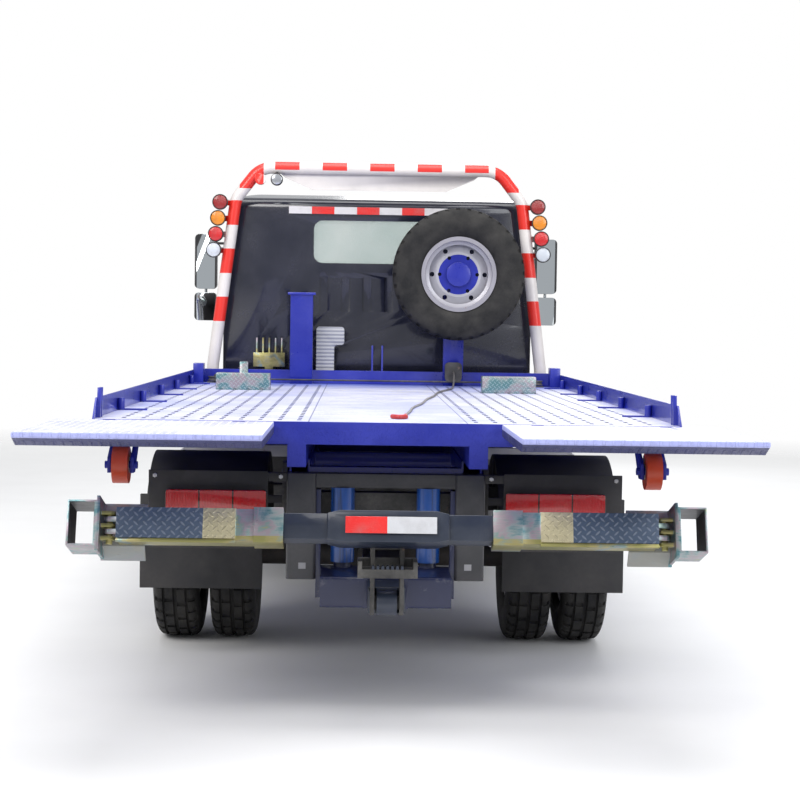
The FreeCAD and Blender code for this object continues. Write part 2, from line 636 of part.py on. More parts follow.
def build_knuckle(word, side):
    """The yoke round the beam's eye, its spindle, brake drum and steering arm."""
    half = s.beam_height / 2
    eye_x = s.kingpin * side
    plate_x = (s.kingpin + s.knuckle_eye + s.move_gap) * side
    drum_x = s.front_track / 2 - s.rim_half
    yoke = []
    for low in (axle_z + half + s.yoke_gap, axle_z - half - s.yoke_gap - s.yoke_thick):
        near, far = sorted((eye_x - s.knuckle_eye * side, plate_x + s.yoke_thick * side), key=lambda v: v.value)
        yoke.append(block(near, far, front_axle_y - s.knuckle_width / 2, front_axle_y + s.knuckle_width / 2,
                          low, low + s.yoke_thick))
    near, far = sorted((plate_x, plate_x + s.yoke_thick * side), key=lambda v: v.value)
    reach = half + s.yoke_gap + s.yoke_thick
    yoke.append(block(near, far, front_axle_y - s.knuckle_width / 2, front_axle_y + s.knuckle_width / 2,
                      axle_z - reach, axle_z + reach))
    pin = rod("Z", s.kingpin_radius + s.fit_gap, axle_z - reach - s.overrun, 2 * (reach + s.overrun), eye_x,
              front_axle_y)
    face = s.front_track / 2 + s.rim_half - s.disc_recess - s.disc_wall
    start = s.kingpin + s.knuckle_eye + s.move_gap + s.yoke_thick
    spindle_start = start if side > 0 else -face + s.fit_gap
    spindle = rod("X", s.hub_radius, spindle_start, face - s.fit_gap - start, front_axle_y, axle_z)
    drum_start = drum_x if side > 0 else -drum_x - s.drum_width
    drum = rod("X", s.drum_radius, drum_start, s.drum_width, front_axle_y, axle_z)
    body = cut(fuse(yoke), [pin])
    node(f"knuckle_{word}", fuse([body, spindle, drum]))


def build_rear_wheels():
    for word, side in SIDES:
        centre = s.dual_track / 2 * side
        rims = []
        tyres = []
        for offset, look in ((s.dual_spacing / 2, -1), (-s.dual_spacing / 2, 1)):
            x = centre + offset * side
            rims.append(place(rim(look * side, "plain"), x, rear_axle_y, axle_z))
            tyres.append(place(tyre(), x, rear_axle_y, axle_z))
        hub_start = centre - s.dual_hub_half
        hub = rod("X", s.bore_radius + s.disc_wall, hub_start, 2 * s.dual_hub_half, rear_axle_y, axle_z)
        bore = rod("X", s.spindle_radius + s.fit_gap, hub_start - s.overrun,
                   2 * s.dual_hub_half + 2 * s.overrun, rear_axle_y, axle_z)
        outer_face = s.dual_spacing / 2 - s.rim_half + s.disc_recess + s.disc_wall
        nuts = []
        start = centre + outer_face * side
        start = start - s.rim_wall if side > 0 else start - s.stud_reach
        for i in range(int(s.stud_count.value)):
            turn = Size(360, "360") / s.stud_count * i
            nuts.append(rod("X", s.nut_radius, start, s.stud_reach + s.rim_wall,
                            rear_axle_y + s.stud_circle * cosine(turn), axle_z + s.stud_circle * sine(turn)))
        cap_start = centre + s.dual_hub_half - s.rim_wall if side > 0 else centre - s.dual_hub_half - s.hub_cap
        cap = rod("X", s.bore_radius, cap_start, s.hub_cap + s.rim_wall, rear_axle_y, axle_z)
        node(f"rear_rims_{word}", fuse([cut(fuse(rims + [hub]), [bore])] + nuts + [cap]))
        node(f"rear_tyres_{word}", group(tyres))


SIDES = (("left", -1), ("right", 1))
dual_hub_inner = s.dual_track / 2 - s.dual_hub_half - s.fit_gap
dual_hub_outer = s.dual_track / 2 + s.dual_hub_half - s.rim_wall - s.fit_gap


# Engine, tank, tool box, bumper and guards
def build_engine():
    stop = foot_back(0) - s.overrun
    x = s.engine_width / 2
    low = block(-x, x, stop - s.engine_length, stop, s.engine_low, s.engine_low + s.engine_height)
    return node("engine", rounded(low, s.box_round, along("Y")))


def side_box(side, length, width, height, radius):
    """A closed box hung outside one rail on two brackets and straps."""
    y = frame_box_y
    inner = s.rail_outer + s.strap_width
    near, far = (inner, inner + width) if side > 0 else (-inner - width, -inner)
    body = rounded(block(near, far, y, y + length, s.tank_low, s.tank_low + height), radius, along("Y"))
    hooks = []
    for share in STRAP_SHARES:
        start = y + length * share
        near_hook, far_hook = (s.rail_outer, inner) if side > 0 else (-inner, -s.rail_outer)
        hooks.append(block(near_hook, far_hook, start, start + s.strap_width, s.tank_low + radius, s.rail_top))
        wide = rounded(block(near - s.strap_thick, far + s.strap_thick, start, start + s.strap_width,
                             s.tank_low - s.strap_thick, s.tank_low + height + s.strap_thick),
                       radius, along("Y"))
        hooks.append(wide)
    return fuse([body] + hooks)


STRAP_SHARES = (0.18, 0.74)
frame_box_y = (rear_axle_y + front_axle_y) / 2 - s.tank_length / 2 + s.box_forward


def build_side_boxes():
    tank = side_box(1, s.tank_length, s.tank_width, s.tank_height, s.tank_round)
    filler = rod("Z", s.filler_radius, s.tank_low + s.tank_height, s.filler_rise,
                 s.rail_outer + s.strap_width + s.tank_width * 3 / 4, frame_box_y + s.tank_length / 2)
    node("fuel_tank", fuse([tank, filler]))
    box = side_box(-1, s.box_length, s.box_width, s.box_height, s.box_round)
    node("tool_box", box)


def build_front_bumper():
    half = s.bumper_half
    back = rail_front
    wall = s.bumper_wall
    step_back = front_end - s.step_reach
    front = front_end
    wrap = [
        (-half, step_back), (-half, front), (half, front), (half, step_back), (half - wall, step_back),
        (half - wall, front - wall), (wall - half, front - wall), (wall - half, step_back),
    ]
    shell = outline("XY", wrap, s.bumper_low, s.bumper_top - s.bumper_low)
    shell = rounded(shell, s.bumper_round, lambda a, b: along("Z")(a, b) and a.y > (front - wall / 2).value)
    mouth_half = s.mouth_half
    mouth = block(-mouth_half, mouth_half, front - wall - s.overrun, front + s.overrun, s.mouth_low, s.mouth_top)
    shell = cut(shell, [mouth])
    beam = block(-s.rail_outer - s.strap_width, s.rail_outer + s.strap_width, back, front - wall, s.bumper_beam_low,
                 s.bumper_top - s.bumper_wall)
    pieces = [shell, beam]
    for side in (1, -1):
        near, far = sorted((s.step_inner * side, (half - wall) * side), key=lambda v: v.value)
        for low in (s.bumper_low, s.bumper_low + (s.bumper_top - s.bumper_low) * STEP_SHARE):
            pieces.append(block(near, far, step_back, front - wall, low, low + s.step_thick))
        eye_x = s.tow_eye_x * side
        eye = block(eye_x - s.tow_eye_wall / 2, eye_x + s.tow_eye_wall / 2, tow_eye_y - s.tow_eye_radius * 2,
                    tow_eye_y + s.tow_eye_radius * 2, tow_eye_z - s.tow_eye_radius * 2, s.bumper_beam_low)
        bore = rod("X", s.tow_eye_radius, eye_x - s.overrun, 2 * s.overrun, tow_eye_y, tow_eye_z)
        pieces.append(cut(rounded(eye, s.tow_eye_radius, lambda a, b: along("X")(a, b) and a.z < tow_eye_z.value),
                          [bore]))
    return node("front_bumper", fuse(pieces))


STEP_SHARE = 0.55
tow_eye_y = rail_front + s.tow_eye_radius * 2
tow_eye_z = s.bumper_low - s.tow_eye_radius * 2


def build_side_guards():
    """Two rails a side between the axles, on posts and arms from the frame."""
    pieces = []
    for side in (1, -1):
        def span(inner, outer):
            return (inner, outer) if side > 0 else (-outer, -inner)

        outer = s.guard_rail_out
        inner = outer - s.guard_rail_depth
        start = (rear_axle_y + front_axle_y) / 2 - s.guard_rail_length / 2 + s.box_forward
        stop = start + s.guard_rail_length
        for low in (s.guard_rail_low, s.guard_rail_low + s.guard_rail_height * 2):
            rail = block(*span(inner, outer), start, stop, low, low + s.guard_rail_height)
            pieces.append(rounded(rail, s.guard_rail_depth / 3, along("Y")))
        for y in (start + s.guard_rail_depth, stop - s.guard_rail_depth * 3):
            pieces.append(block(*span(inner - s.guard_rail_depth, inner), y, y + s.guard_rail_depth * 2,
                                s.guard_rail_low, s.rail_top))
            pieces.append(block(*span(s.rail_outer, inner), y, y + s.guard_rail_depth * 2,
                                s.rail_top - s.guard_rail_depth * 2, s.rail_top))
    return node("side_guards", fuse(pieces))


def guard_arch(x0, x1):
    """A half-round guard over one pair of rear wheels."""
    outer = rod("X", s.guard_radius, x0, x1 - x0, rear_axle_y, axle_z)
    inner = rod("X", s.guard_radius - s.guard_wall, x0 - s.overrun, x1 - x0 + 2 * s.overrun, rear_axle_y, axle_z)
    reach = s.guard_radius + s.overrun
    low = block(x0 - s.overrun, x1 + s.overrun, rear_axle_y - reach, rear_axle_y + reach, axle_z - reach,
                axle_z + s.guard_radius / 3)
    return cut(outer, [inner, low])


def build_rear_mudguards():
    pieces = []
    for side in (1, -1):
        def span(inner, outer):
            return (inner, outer) if side > 0 else (-outer, -inner)

        x0, x1 = span(s.guard_inner, s.guard_inner + s.guard_width)
        near, far = rear_axle_y - s.strap_width / 2, rear_axle_y + s.strap_width / 2
        top = axle_z + s.guard_radius
        guard = [guard_arch(x0, x1)]
        guard.append(block(*span(s.rail_outer, s.guard_inner + s.strap_thick), near, far,
                           s.guard_arm_top - s.strap_thick, s.guard_arm_top))
        guard.append(block(*span(s.guard_inner, s.guard_inner + s.strap_thick), near, far,
                           s.guard_arm_top - s.strap_thick, top - s.guard_wall))
        pieces.append(fuse(guard))
        flap_y = rear_axle_y - s.guard_radius - s.flap_behind
        bracket = flap_y + s.flap_thick
        flap = [block(x0, x1, flap_y, bracket, s.flap_low, s.flap_top)]
        flap.append(block(*span(s.rail_outer, s.guard_inner + s.guard_width), bracket, bracket + s.board_tube,
                          s.flap_top - s.board_tube * 2, s.flap_top))
        pieces.append(fuse(flap))
        board_y = rail_rear - s.post_depth
        back = board_y + s.board_thick
        board = [block(*span(s.board_inner, s.board_outer), board_y, back, s.board_low, s.board_top)]
        board.append(block(*span(s.post_inner + s.post_width, s.board_outer), back, back + s.board_tube * 2,
                           s.post_top - s.board_tube * 2, s.post_top))
        pieces.append(fuse(board))
    return node("rear_mudguards", group(pieces))


def build_rear_lamps():
    lamps = []
    for side in (1, -1):
        near, far = sorted((s.lamp_inner * side, (s.lamp_inner + s.lamp_width) * side), key=lambda v: v.value)
        face = rail_rear - s.post_depth
        lamp = block(near, far, face - s.lamp_depth, face, s.lamp_top - s.lamp_height, s.lamp_top)
        lamps.append(rounded(lamp, s.lamp_round, along("Y")))
    return node("rear_lamps", group(lamps + gantry_lamps()))


# Light gantry behind the cab
gantry_y = bed_front + s.gantry_offset


def gantry_points(side):
    top = s.gantry_top - s.gantry_tube
    return [
        (s.gantry_foot_half * side, gantry_y, s.gantry_foot),
        (s.gantry_foot_half * side, gantry_y, s.gantry_knee),
        (s.gantry_bend_half * side, gantry_y, s.gantry_bend_height),
        (s.gantry_top_half * side, gantry_y, top),
    ]


def build_light_gantry():
    route = gantry_points(-1) + gantry_points(1)[::-1]
    bends = [s.gantry_bend * 2, s.gantry_bend, s.gantry_bend, s.gantry_bend, s.gantry_bend, s.gantry_bend * 2]
    hoop = tube_path(route, s.gantry_tube, bends)
    foot = rod("X", s.gantry_tube, -s.gantry_foot_half, 2 * s.gantry_foot_half, gantry_y, s.gantry_foot)
    pieces = [hoop, foot]
    for side in (1, -1):
        near, far = sorted((s.tilt_inner * side, s.rail_outer * side), key=lambda v: v.value)
        pieces.append(block(near, far, gantry_y - s.gantry_tube, gantry_y + s.gantry_tube, s.rail_top,
                            s.gantry_foot))
        for i in range(int(s.pod_count.value)):
            z = s.lamp_pod_top - s.lamp_pod_pitch * i
            leg = gantry_leg_x(z)
            out = leg + s.lamp_pod_out + s.lamp_pod_radius
            near, far = sorted((leg * side, out * side), key=lambda v: v.value)
            pieces.append(block(near, far, gantry_y - s.sign_thick, gantry_y + s.sign_thick,
                                z - s.lamp_pod_radius / 3, z + s.lamp_pod_radius / 3))
    top = s.gantry_top - s.gantry_tube
    low = top - s.gantry_tube - s.sign_height
    reach = s.sign_half + s.sign_curve
    knee = s.sign_height / 4
    board = [
        (-reach, top), (-reach + s.sign_curve / 3, low + s.sign_height - knee), (-s.sign_half, low + knee / 2),
        (-s.sign_half + knee, low), (s.sign_half - knee, low), (s.sign_half, low + knee / 2),
        (reach - s.sign_curve / 3, low + s.sign_height - knee), (reach, top),
    ]
    pieces.append(outline("XZ", board, gantry_y - s.sign_thick, 2 * s.sign_thick))
    lamp_z = top - s.gantry_tube - s.work_lamp_radius
    lamp_x = -s.gantry_top_half
    pieces.append(rod("Y", s.work_lamp_radius, gantry_y - s.gantry_tube, s.work_lamp_depth, lamp_x, lamp_z))
    pieces.append(rod("Z", s.lever_radius, lamp_z, s.gantry_tube + s.work_lamp_radius, lamp_x, gantry_y))
    return node("light_gantry", fuse(pieces))


def gantry_leg_x(z):
    """How far out the sloping leg is at a height."""
    rise = s.gantry_bend_height - s.gantry_knee
    return s.gantry_foot_half - (s.gantry_foot_half - s.gantry_bend_half) * (z - s.gantry_knee) / rise


def gantry_lamps():
    """The round lamps outside the gantry's legs."""
    pods = []
    for side in (1, -1):
        for i in range(int(s.pod_count.value)):
            z = s.lamp_pod_top - s.lamp_pod_pitch * i
            x = (gantry_leg_x(z) + s.lamp_pod_out + s.lamp_pod_radius) * side
            back = gantry_y - s.sign_thick
            pods.append(rod("Y", s.lamp_pod_radius * POD_SHARE, back - s.lamp_pod_depth, s.lamp_pod_depth, x, z))
    return pods


POD_SHARE = 0.8


def build_intake_duct():
    """A square air intake that rises behind the cab and turns towards its side."""
    x = -s.duct_x
    y = gantry_y - s.duct_depth / 2
    high = s.duct_rise
    upright = block(x - s.duct_width, x, y, y + s.duct_depth, s.rail_top + s.fit_gap, high)
    elbow = block(x - s.duct_width, x + s.duct_reach, y, y + s.duct_depth, high - s.duct_width, high)
    bar = rod("X", s.gantry_tube + s.fit_gap, -s.gantry_foot_half, 2 * s.gantry_foot_half, gantry_y, s.gantry_foot)
    pads = block(-s.rail_outer - s.fit_gap, s.fit_gap - s.tilt_inner, y - s.overrun, y + s.duct_depth + s.overrun,
                 s.rail_top - s.overrun, s.gantry_foot)
    duct = rounded(fuse([upright, elbow]), s.box_round, along("Y"))
    return node("intake_duct", cut(duct, [bar, pads]))


def build_valve_block():
    """The bed's lever valves on a stand from the gantry's foot tube."""
    x = -s.valve_x
    back = gantry_y - s.valve_depth / 2
    low = s.valve_low
    body = block(x - s.valve_width / 2, x + s.valve_width / 2, back, back + s.valve_depth, low, low + s.valve_height)
    stand = block(x - s.strap_width / 2, x + s.strap_width / 2, back, back + s.strap_thick, s.gantry_foot, low)
    foot = rod("X", s.gantry_tube + s.fit_gap, x - s.valve_width, 2 * s.valve_width, gantry_y, s.gantry_foot)
    pieces = [body, cut(stand, [foot])]
    for i in range(int(s.lever_count.value)):
        lever_x = x - s.valve_width / 2 + s.valve_width * (i + 0.5) / s.lever_count
        pieces.append(rod("Z", s.lever_radius, low + s.valve_height, s.lever_length, lever_x, gantry_y))
    return node("valve_block", fuse(pieces))


def root_of_squares(a, b):
    return Size(math.hypot(a.value, b.value), f"sqrt({a.formula} * {a.formula} + {b.formula} * {b.formula})")


def slope_of(rise, run):
    return Size(math.degrees(math.atan(rise.value / run.value)), f"atan({rise.formula} / {run.formula})")


# Tilt frame and its two rams
def build_tilt_frame():
    start = -s.tilt_back - s.tilt_pin * 2
    stop = bed_front - s.tilt_front_gap
    inner = s.tilt_inner
    outer = inner + s.tilt_width
    pieces = []
    for side in (1, -1):
        near, far = sorted((inner * side, outer * side), key=lambda v: v.value)
        tube = block(near, far, start, stop, s.tilt_low, s.tilt_top)
        hollow = block(near + s.tilt_wall, far - s.tilt_wall, start - s.overrun, stop + s.overrun,
                       s.tilt_low + s.tilt_wall, s.tilt_top - s.tilt_wall)
        pieces.append(cut(tube, [hollow]))
        pin_start = outer if side > 0 else -outer - s.tilt_pin_reach
        pieces.append(rod("X", s.tilt_pin, pin_start, s.tilt_pin_reach, -s.tilt_back, s.tilt_height))
    for share in TILT_MEMBER_SHARES:
        y = start + (stop - start) * share
        pieces.append(block(-inner, inner, y, y + s.tilt_width, s.tilt_low, s.tilt_member_top))
    pieces.append(rod("X", s.ram_pin, -inner, 2 * inner, s.ram_eye_y, s.ram_eye_z))
    return node("tilt_frame", fuse(pieces))


TILT_MEMBER_SHARES = (0, 0.22, 0.43, 0.86, 0.97)
ram_run = s.ram_eye_y - s.ram_base_y
ram_rise = s.ram_eye_z - s.ram_base_z
ram_length = root_of_squares(ram_run, ram_rise)
ram_slope = slope_of(ram_rise, ram_run)


def laid_ram(item):
    """Lean a ram's piece, drawn along Y from its base pin, into its place."""
    return place(lean(item, "X", ram_slope), 0, s.ram_base_y, s.ram_base_z)


def build_rams():
    eye = s.ram_radius
    barrels = []
    rods = []
    barrel_stop = ram_length * BARREL_SHARE
    for side in (1, -1):
        x = s.ram_x * side
        base = rod("X", eye, x - s.ram_eye / 2, s.ram_eye, 0, 0)
        barrel = rod("Y", s.ram_radius, 0, barrel_stop, x, 0)
        pin = rod("X", s.ram_pin + s.fit_gap, x - s.overrun * 3, s.overrun * 6, 0, 0)
        bore = rod("Y", s.ram_rod + s.fit_gap, s.ram_radius * 2, ram_length, x, 0)
        barrels.append(cut(fuse([base, barrel]), [pin, bore]))
        shank = rod("Y", s.ram_rod, ram_length * ROD_SHARE, ram_length * (1 - ROD_SHARE), x, 0)
        head = rod("X", s.ram_eye_radius, x - s.ram_eye / 2, s.ram_eye, ram_length, 0)
        hole = rod("X", s.ram_pin + s.eye_play, x - s.overrun * 3, s.overrun * 6, ram_length, 0)
        rods.append(cut(fuse([shank, head]), [hole]))
    node("tilt_barrels", laid_ram(group(barrels)))
    node("tilt_rods", laid_ram(group(rods)))


BARREL_SHARE = 0.86
ROD_SHARE = 0.3


# Bed: deck on cross ribs and two runners, with its side rails, sills and roller forks
deck_low = s.deck_top - s.deck_plate
frame_low = deck_low - s.deck_frame
runner_low = s.tilt_top + s.fit_gap


def build_deck():
    half = s.deck_half
    pieces = [block(-half, half, bed_rear, bed_front, deck_low, s.deck_top)]
    for side in (1, -1):
        near, far = sorted((s.runner_inner * side, (s.runner_inner + s.runner_width) * side), key=lambda v: v.value)
        pieces.append(block(near, far, bed_rear, bed_front, runner_low, frame_low))
        near, far = sorted((half * side, (half - s.edge_width) * side), key=lambda v: v.value)
        edge = block(near, far, bed_rear, bed_front, frame_low, deck_low)
        pieces.append(edge)
    for share in RIB_SHARES:
        y = bed_rear + (s.bed_length - s.rear_beam) * share
        pieces.append(block(-half, half, y, y + s.rib_width, frame_low, deck_low))
    pieces.append(block(-half, half, bed_front - s.rib_width, bed_front, frame_low, deck_low))
    pieces.append(block(-half, half, bed_rear, bed_rear + s.rear_beam, frame_low, deck_low))
    for side in (1, -1):
        for x in (s.caster_x * side - s.fork_gap - s.fork_thick, s.caster_x * side + s.fork_gap):
            pieces.append(outline("YZ", fork_outline(), x, s.fork_thick))
        pin_start = s.caster_x * side - s.fork_gap - s.fork_thick * 2
        pieces.append(rod("X", s.caster_bore, pin_start, 2 * s.fork_gap + 4 * s.fork_thick, caster_y, caster_z))
        for x in lug_places(side):
            pieces += hinge_lug(x)
    return node("deck", fuse(pieces))


RIB_SHARES = (0.1, 0.18, 0.26, 0.34, 0.42, 0.5, 0.58, 0.66, 0.74, 0.82, 0.9)
caster_y = bed_rear - s.caster_back
caster_z = s.deck_top - s.caster_drop
ramp_pivot_y = bed_rear - s.ramp_pivot_gap
ramp_pivot_z = s.deck_top - s.ramp_thick / 2


def fork_outline():
    """The side of a roller's fork, from the rear beam's underside to past its axle."""
    grip = s.caster_bore * 2
    return [
        (bed_rear, frame_low), (caster_y - grip, caster_z + grip), (caster_y - grip, caster_z - grip),
        (caster_y + grip, caster_z - grip), (bed_rear + s.rear_beam, frame_low),
    ]


def lug_places(side):
    width = s.ramp_outer - s.ramp_inner
    places = [s.ramp_inner + width * share for share in LUG_SHARES]
    return [x * side - s.lug_width / 2 for x in places]


LUG_SHARES = (0.16, 0.75)


def hinge_lug(x):
    """One eye on the rear beam with the pin that a ramp turns on."""
    radius = s.ramp_thick / 2 - s.eye_trim
    eye = rod("X", radius, x, s.lug_width, ramp_pivot_y, ramp_pivot_z)
    neck = block(x, x + s.lug_width, ramp_pivot_y, bed_rear, ramp_pivot_z - radius, ramp_pivot_z + radius)
    pin = rod("X", s.ramp_pin, x - s.pin_reach, s.lug_width + 2 * s.pin_reach, ramp_pivot_y, ramp_pivot_z)
    return [eye, neck, pin]


def build_side_rails():
    """Upright edge plates with tie-down cleats, a fork at each rear corner and the outer sill tubes."""
    pieces = []
    rise = s.rail_rise
    top = s.deck_top
    for side in (1, -1):
        def span(inner, outer):
            return (inner, outer) if side > 0 else (-outer, -inner)

        half = s.deck_half
        pieces.append(block(*span(half - s.rail_plate, half), bed_rear + rise, bed_front, top, top + rise))
        foot = [(bed_rear, top), (bed_rear + rise, top), (bed_rear + rise, top + rise)]
        near, far = span(half - s.rail_plate, half)
        pieces.append(outline("YZ", foot, near, far - near))
        inner = half - s.rail_plate
        for share in CLEAT_SHARES:
            y = bed_rear + s.bed_length * share
            start, stop = span(inner - s.cleat_post * 2, inner)
            pieces.append(rod("Z", s.cleat_post, top, s.cleat_rise, (start + stop) / 2, y))
            start, stop = span(inner - s.cleat_reach, inner)
            pieces.append(block(start, stop, y - s.cleat_thick, y + s.cleat_thick, top, top + s.cleat_thick))
        for y in (bed_rear + rise, bed_rear + rise + s.cleat_post * 3):
            prong = [(y, top), (y + s.cleat_post, top), (y + s.cleat_post * 2, top + rise * 3 / 2),
                     (y + s.cleat_post, top + rise * 3 / 2)]
            start, stop = span(inner - s.cleat_post, inner)
            pieces.append(outline("YZ", prong, start, stop - start))
        sill_start = bed_rear + s.rear_beam
        pieces.append(block(*span(s.sill_inner, s.sill_inner + s.sill_width), sill_start,
                            bed_front - s.rear_beam, s.sill_low, s.sill_low + s.sill_height))
        peg_step = (s.bed_length - 2 * s.rear_beam) / s.sill_pegs
        for i in range(int(s.sill_pegs.value)):
            y = sill_start + peg_step * (i + 0.5)
            pieces.append(block(*span(half, s.sill_inner), y, y + s.peg_thick, frame_low,
                                s.sill_low + s.sill_height))
    sides = len(pieces) // 2
    return node("side_rails", group([fuse(pieces[:sides]), fuse(pieces[sides:])]))


CLEAT_SHARES = (0.16, 0.34, 0.52, 0.7, 0.9)


def build_headboard():
    """The low wall at the bed's front with the stake post, the spare's carrier and lug plates."""
    back = bed_front - s.headboard_thick
    half = s.deck_half - s.rail_plate - s.fit_gap
    drop = s.headboard_top - s.deck_top
    wall_outline = [
        (-half, s.deck_top), (half, s.deck_top), (half, s.headboard_top - drop / 2),
        (half - drop / 2, s.headboard_top), (drop / 2 - half, s.headboard_top), (-half, s.headboard_top - drop / 2),
    ]
    pieces = [outline("XZ", wall_outline, back, s.headboard_thick)]
    x = -s.stake_x
    depth = s.stake_depth
    pieces.append(block(x - s.stake_width / 2, x + s.stake_width / 2, back - depth, back, s.deck_top, s.stake_top))
    pieces.append(block(x - s.stake_cap / 2, x + s.stake_cap / 2, back - depth - s.stake_cap_thick,
                        back + s.stake_cap_thick, s.stake_top, s.stake_top + s.stake_cap_thick))
    pieces.append(block(s.stake_x - s.carrier_width / 2, s.stake_x + s.carrier_width / 2, back - s.carrier_depth,
                        back, s.deck_top, s.spare_z + s.bore_radius))
    boss_start = spare_plane_y - s.rim_half + s.disc_recess - s.boss_reach
    pieces.append(rod("Y", s.bore_radius - s.fit_gap, boss_start, back - s.carrier_depth - boss_start, s.spare_x,
                      s.spare_z))
    for centre in (-s.stake_x - s.fit_gap, Size(0, "0"), s.stake_x):
        for side in (1, -1):
            lug_x = centre + (s.lug_plate_half - s.lug_plate / 2) * side
            pieces.append(block(lug_x - s.lug_plate / 2, lug_x + s.lug_plate / 2, back, bed_front,
                                s.headboard_top, s.deck_top + s.lug_plate_rise))
    for side in (1, -1):
        near, far = sorted((half * side, (half - s.corner_width) * side), key=lambda v: v.value)
        ear = [(near, s.deck_top), (far, s.deck_top), (far, s.deck_top + s.corner_rise),
               (near, s.deck_top + s.corner_rise)]
        pieces.append(outline("XZ", ear, back - s.corner_depth, s.corner_depth))
    return node("headboard", fuse(pieces))


def build_spare():
    """The spare wheel on its carrier, its dished face to the back."""
    turned = Rotation(AXES["Z"], 90)
    for name, item in (("spare_rim", rim(-1, "bare")), ("spare_tyre", tyre())):
        item.Placement = Placement(Vector(0, 0, 0), turned)
        node(name, place(item, s.spare_x, spare_plane_y, s.spare_z))


spare_plane_y = bed_front - s.headboard_thick - s.carrier_depth - s.tyre_width / 2 - s.spare_gap


def build_wheel_stops():
    """Two folded boxes that stand before the headboard, each with a short post."""
    stops = []
    back = bed_front - s.headboard_thick - s.stop_back
    for side, centre in ((-1, s.stop_left), (1, s.stop_right)):
        x = centre * side
        low = s.deck_top
        shell = block(x - s.stop_length / 2, x + s.stop_length / 2, back - s.stop_depth, back, low,
                      low + s.stop_height)
        hollow = block(x - s.stop_length / 2 + s.stop_wall, x + s.stop_length / 2 - s.stop_wall,
                       back - s.stop_depth + s.stop_wall, back + s.overrun, low - s.overrun,
                       low + s.stop_height - s.stop_wall)
        pieces = [cut(shell, [hollow])]
        if side < 0:
            post_y = back - s.stop_depth / 2
            pieces.append(block(x - s.stop_post / 2, x + s.stop_post / 2, post_y, post_y + s.stop_post,
                                low + s.stop_height, low + s.stop_height + s.stop_post_rise))
        stops.append(fuse(pieces))
    return node("wheel_stops", group(stops))


def grooved(x, y, z, axis):
    """A rope sheave: a disc with a round groove, on a pin."""
    disc = rod(axis, s.sheave_radius, z if axis == "Z" else x, s.sheave_thick,
               *((x, y) if axis == "Z" else (y, z)))
    ring = doc.addObject("Part::Torus", "Groove")
    bind(ring, "Radius1", s.sheave_radius + s.sheave_groove / 3)
    bind(ring, "Radius2", s.sheave_groove)
    ring.Placement.Rotation = TURNS[axis]
    if axis == "Z":
        place(ring, x, y, z + s.sheave_thick / 2)
    else:
        place(ring, x + s.sheave_thick / 2, y, z)
    return cut(disc, [ring])


sheave_y = bed_front - s.headboard_thick - s.sheave_back
rope_z = s.deck_top + s.sheave_rise + s.sheave_thick / 2


def build_winch():
    """The two rope sheaves at the headboard, the snatch block, and the drum under the deck."""
    pieces = []
    roped = []
    for x in (-s.sheave_left, s.sheave_right):
        low = s.deck_top + s.sheave_rise
        disc = grooved(x, sheave_y, low, "Z")
        pin = rod("Z", s.sheave_pin, s.deck_top, s.sheave_rise * 2 + s.sheave_thick, x, sheave_y)
        foot = block(x - s.sheave_radius, x + s.sheave_radius, sheave_y - s.sheave_radius,
                     sheave_y + s.sheave_radius, s.deck_top, s.deck_top + s.rail_plate)
        roped += [disc, pin, foot]
    face = bed_front - s.headboard_thick - s.carrier_depth
    snatch = block(s.stake_x - s.snatch_half, s.stake_x + s.snatch_half, face - s.snatch_depth, face,
                   s.deck_top + s.snatch_low, s.deck_top + s.snatch_low + s.snatch_height)
    roped.append(rounded(snatch, s.snatch_half / 2, along("Y")))
    taut_y = sheave_y + s.rope_radius - s.sheave_radius
    taut_z = s.deck_top + s.sheave_rise + s.sheave_thick / 2
    roped.append(rod("X", s.rope_radius, -s.sheave_left, s.sheave_left + s.sheave_right, taut_y, taut_z))
    pieces.append(fuse(roped))
    y = bed_front - s.winch_back
    z = deck_low - s.winch_flange - s.fit_gap
    drum = rod("X", s.winch_drum, -s.winch_length / 2, s.winch_length, y, z)
    ends = [rod("X", s.winch_flange, -s.winch_length / 2 + x, s.winch_flange_thick, y, z)
            for x in (Size(0, "0"), s.winch_length - s.winch_flange_thick)]
    cheeks = []
    for side in (1, -1):
        near, far = sorted((s.winch_length / 2 * side, s.runner_inner * side), key=lambda v: v.value)
        cheeks.append(block(near, far, y - s.winch_drum, y + s.winch_drum, z - s.winch_drum / 2, deck_low))
    pieces.append(fuse([drum] + ends + cheeks))
    return node("winch", group(pieces))


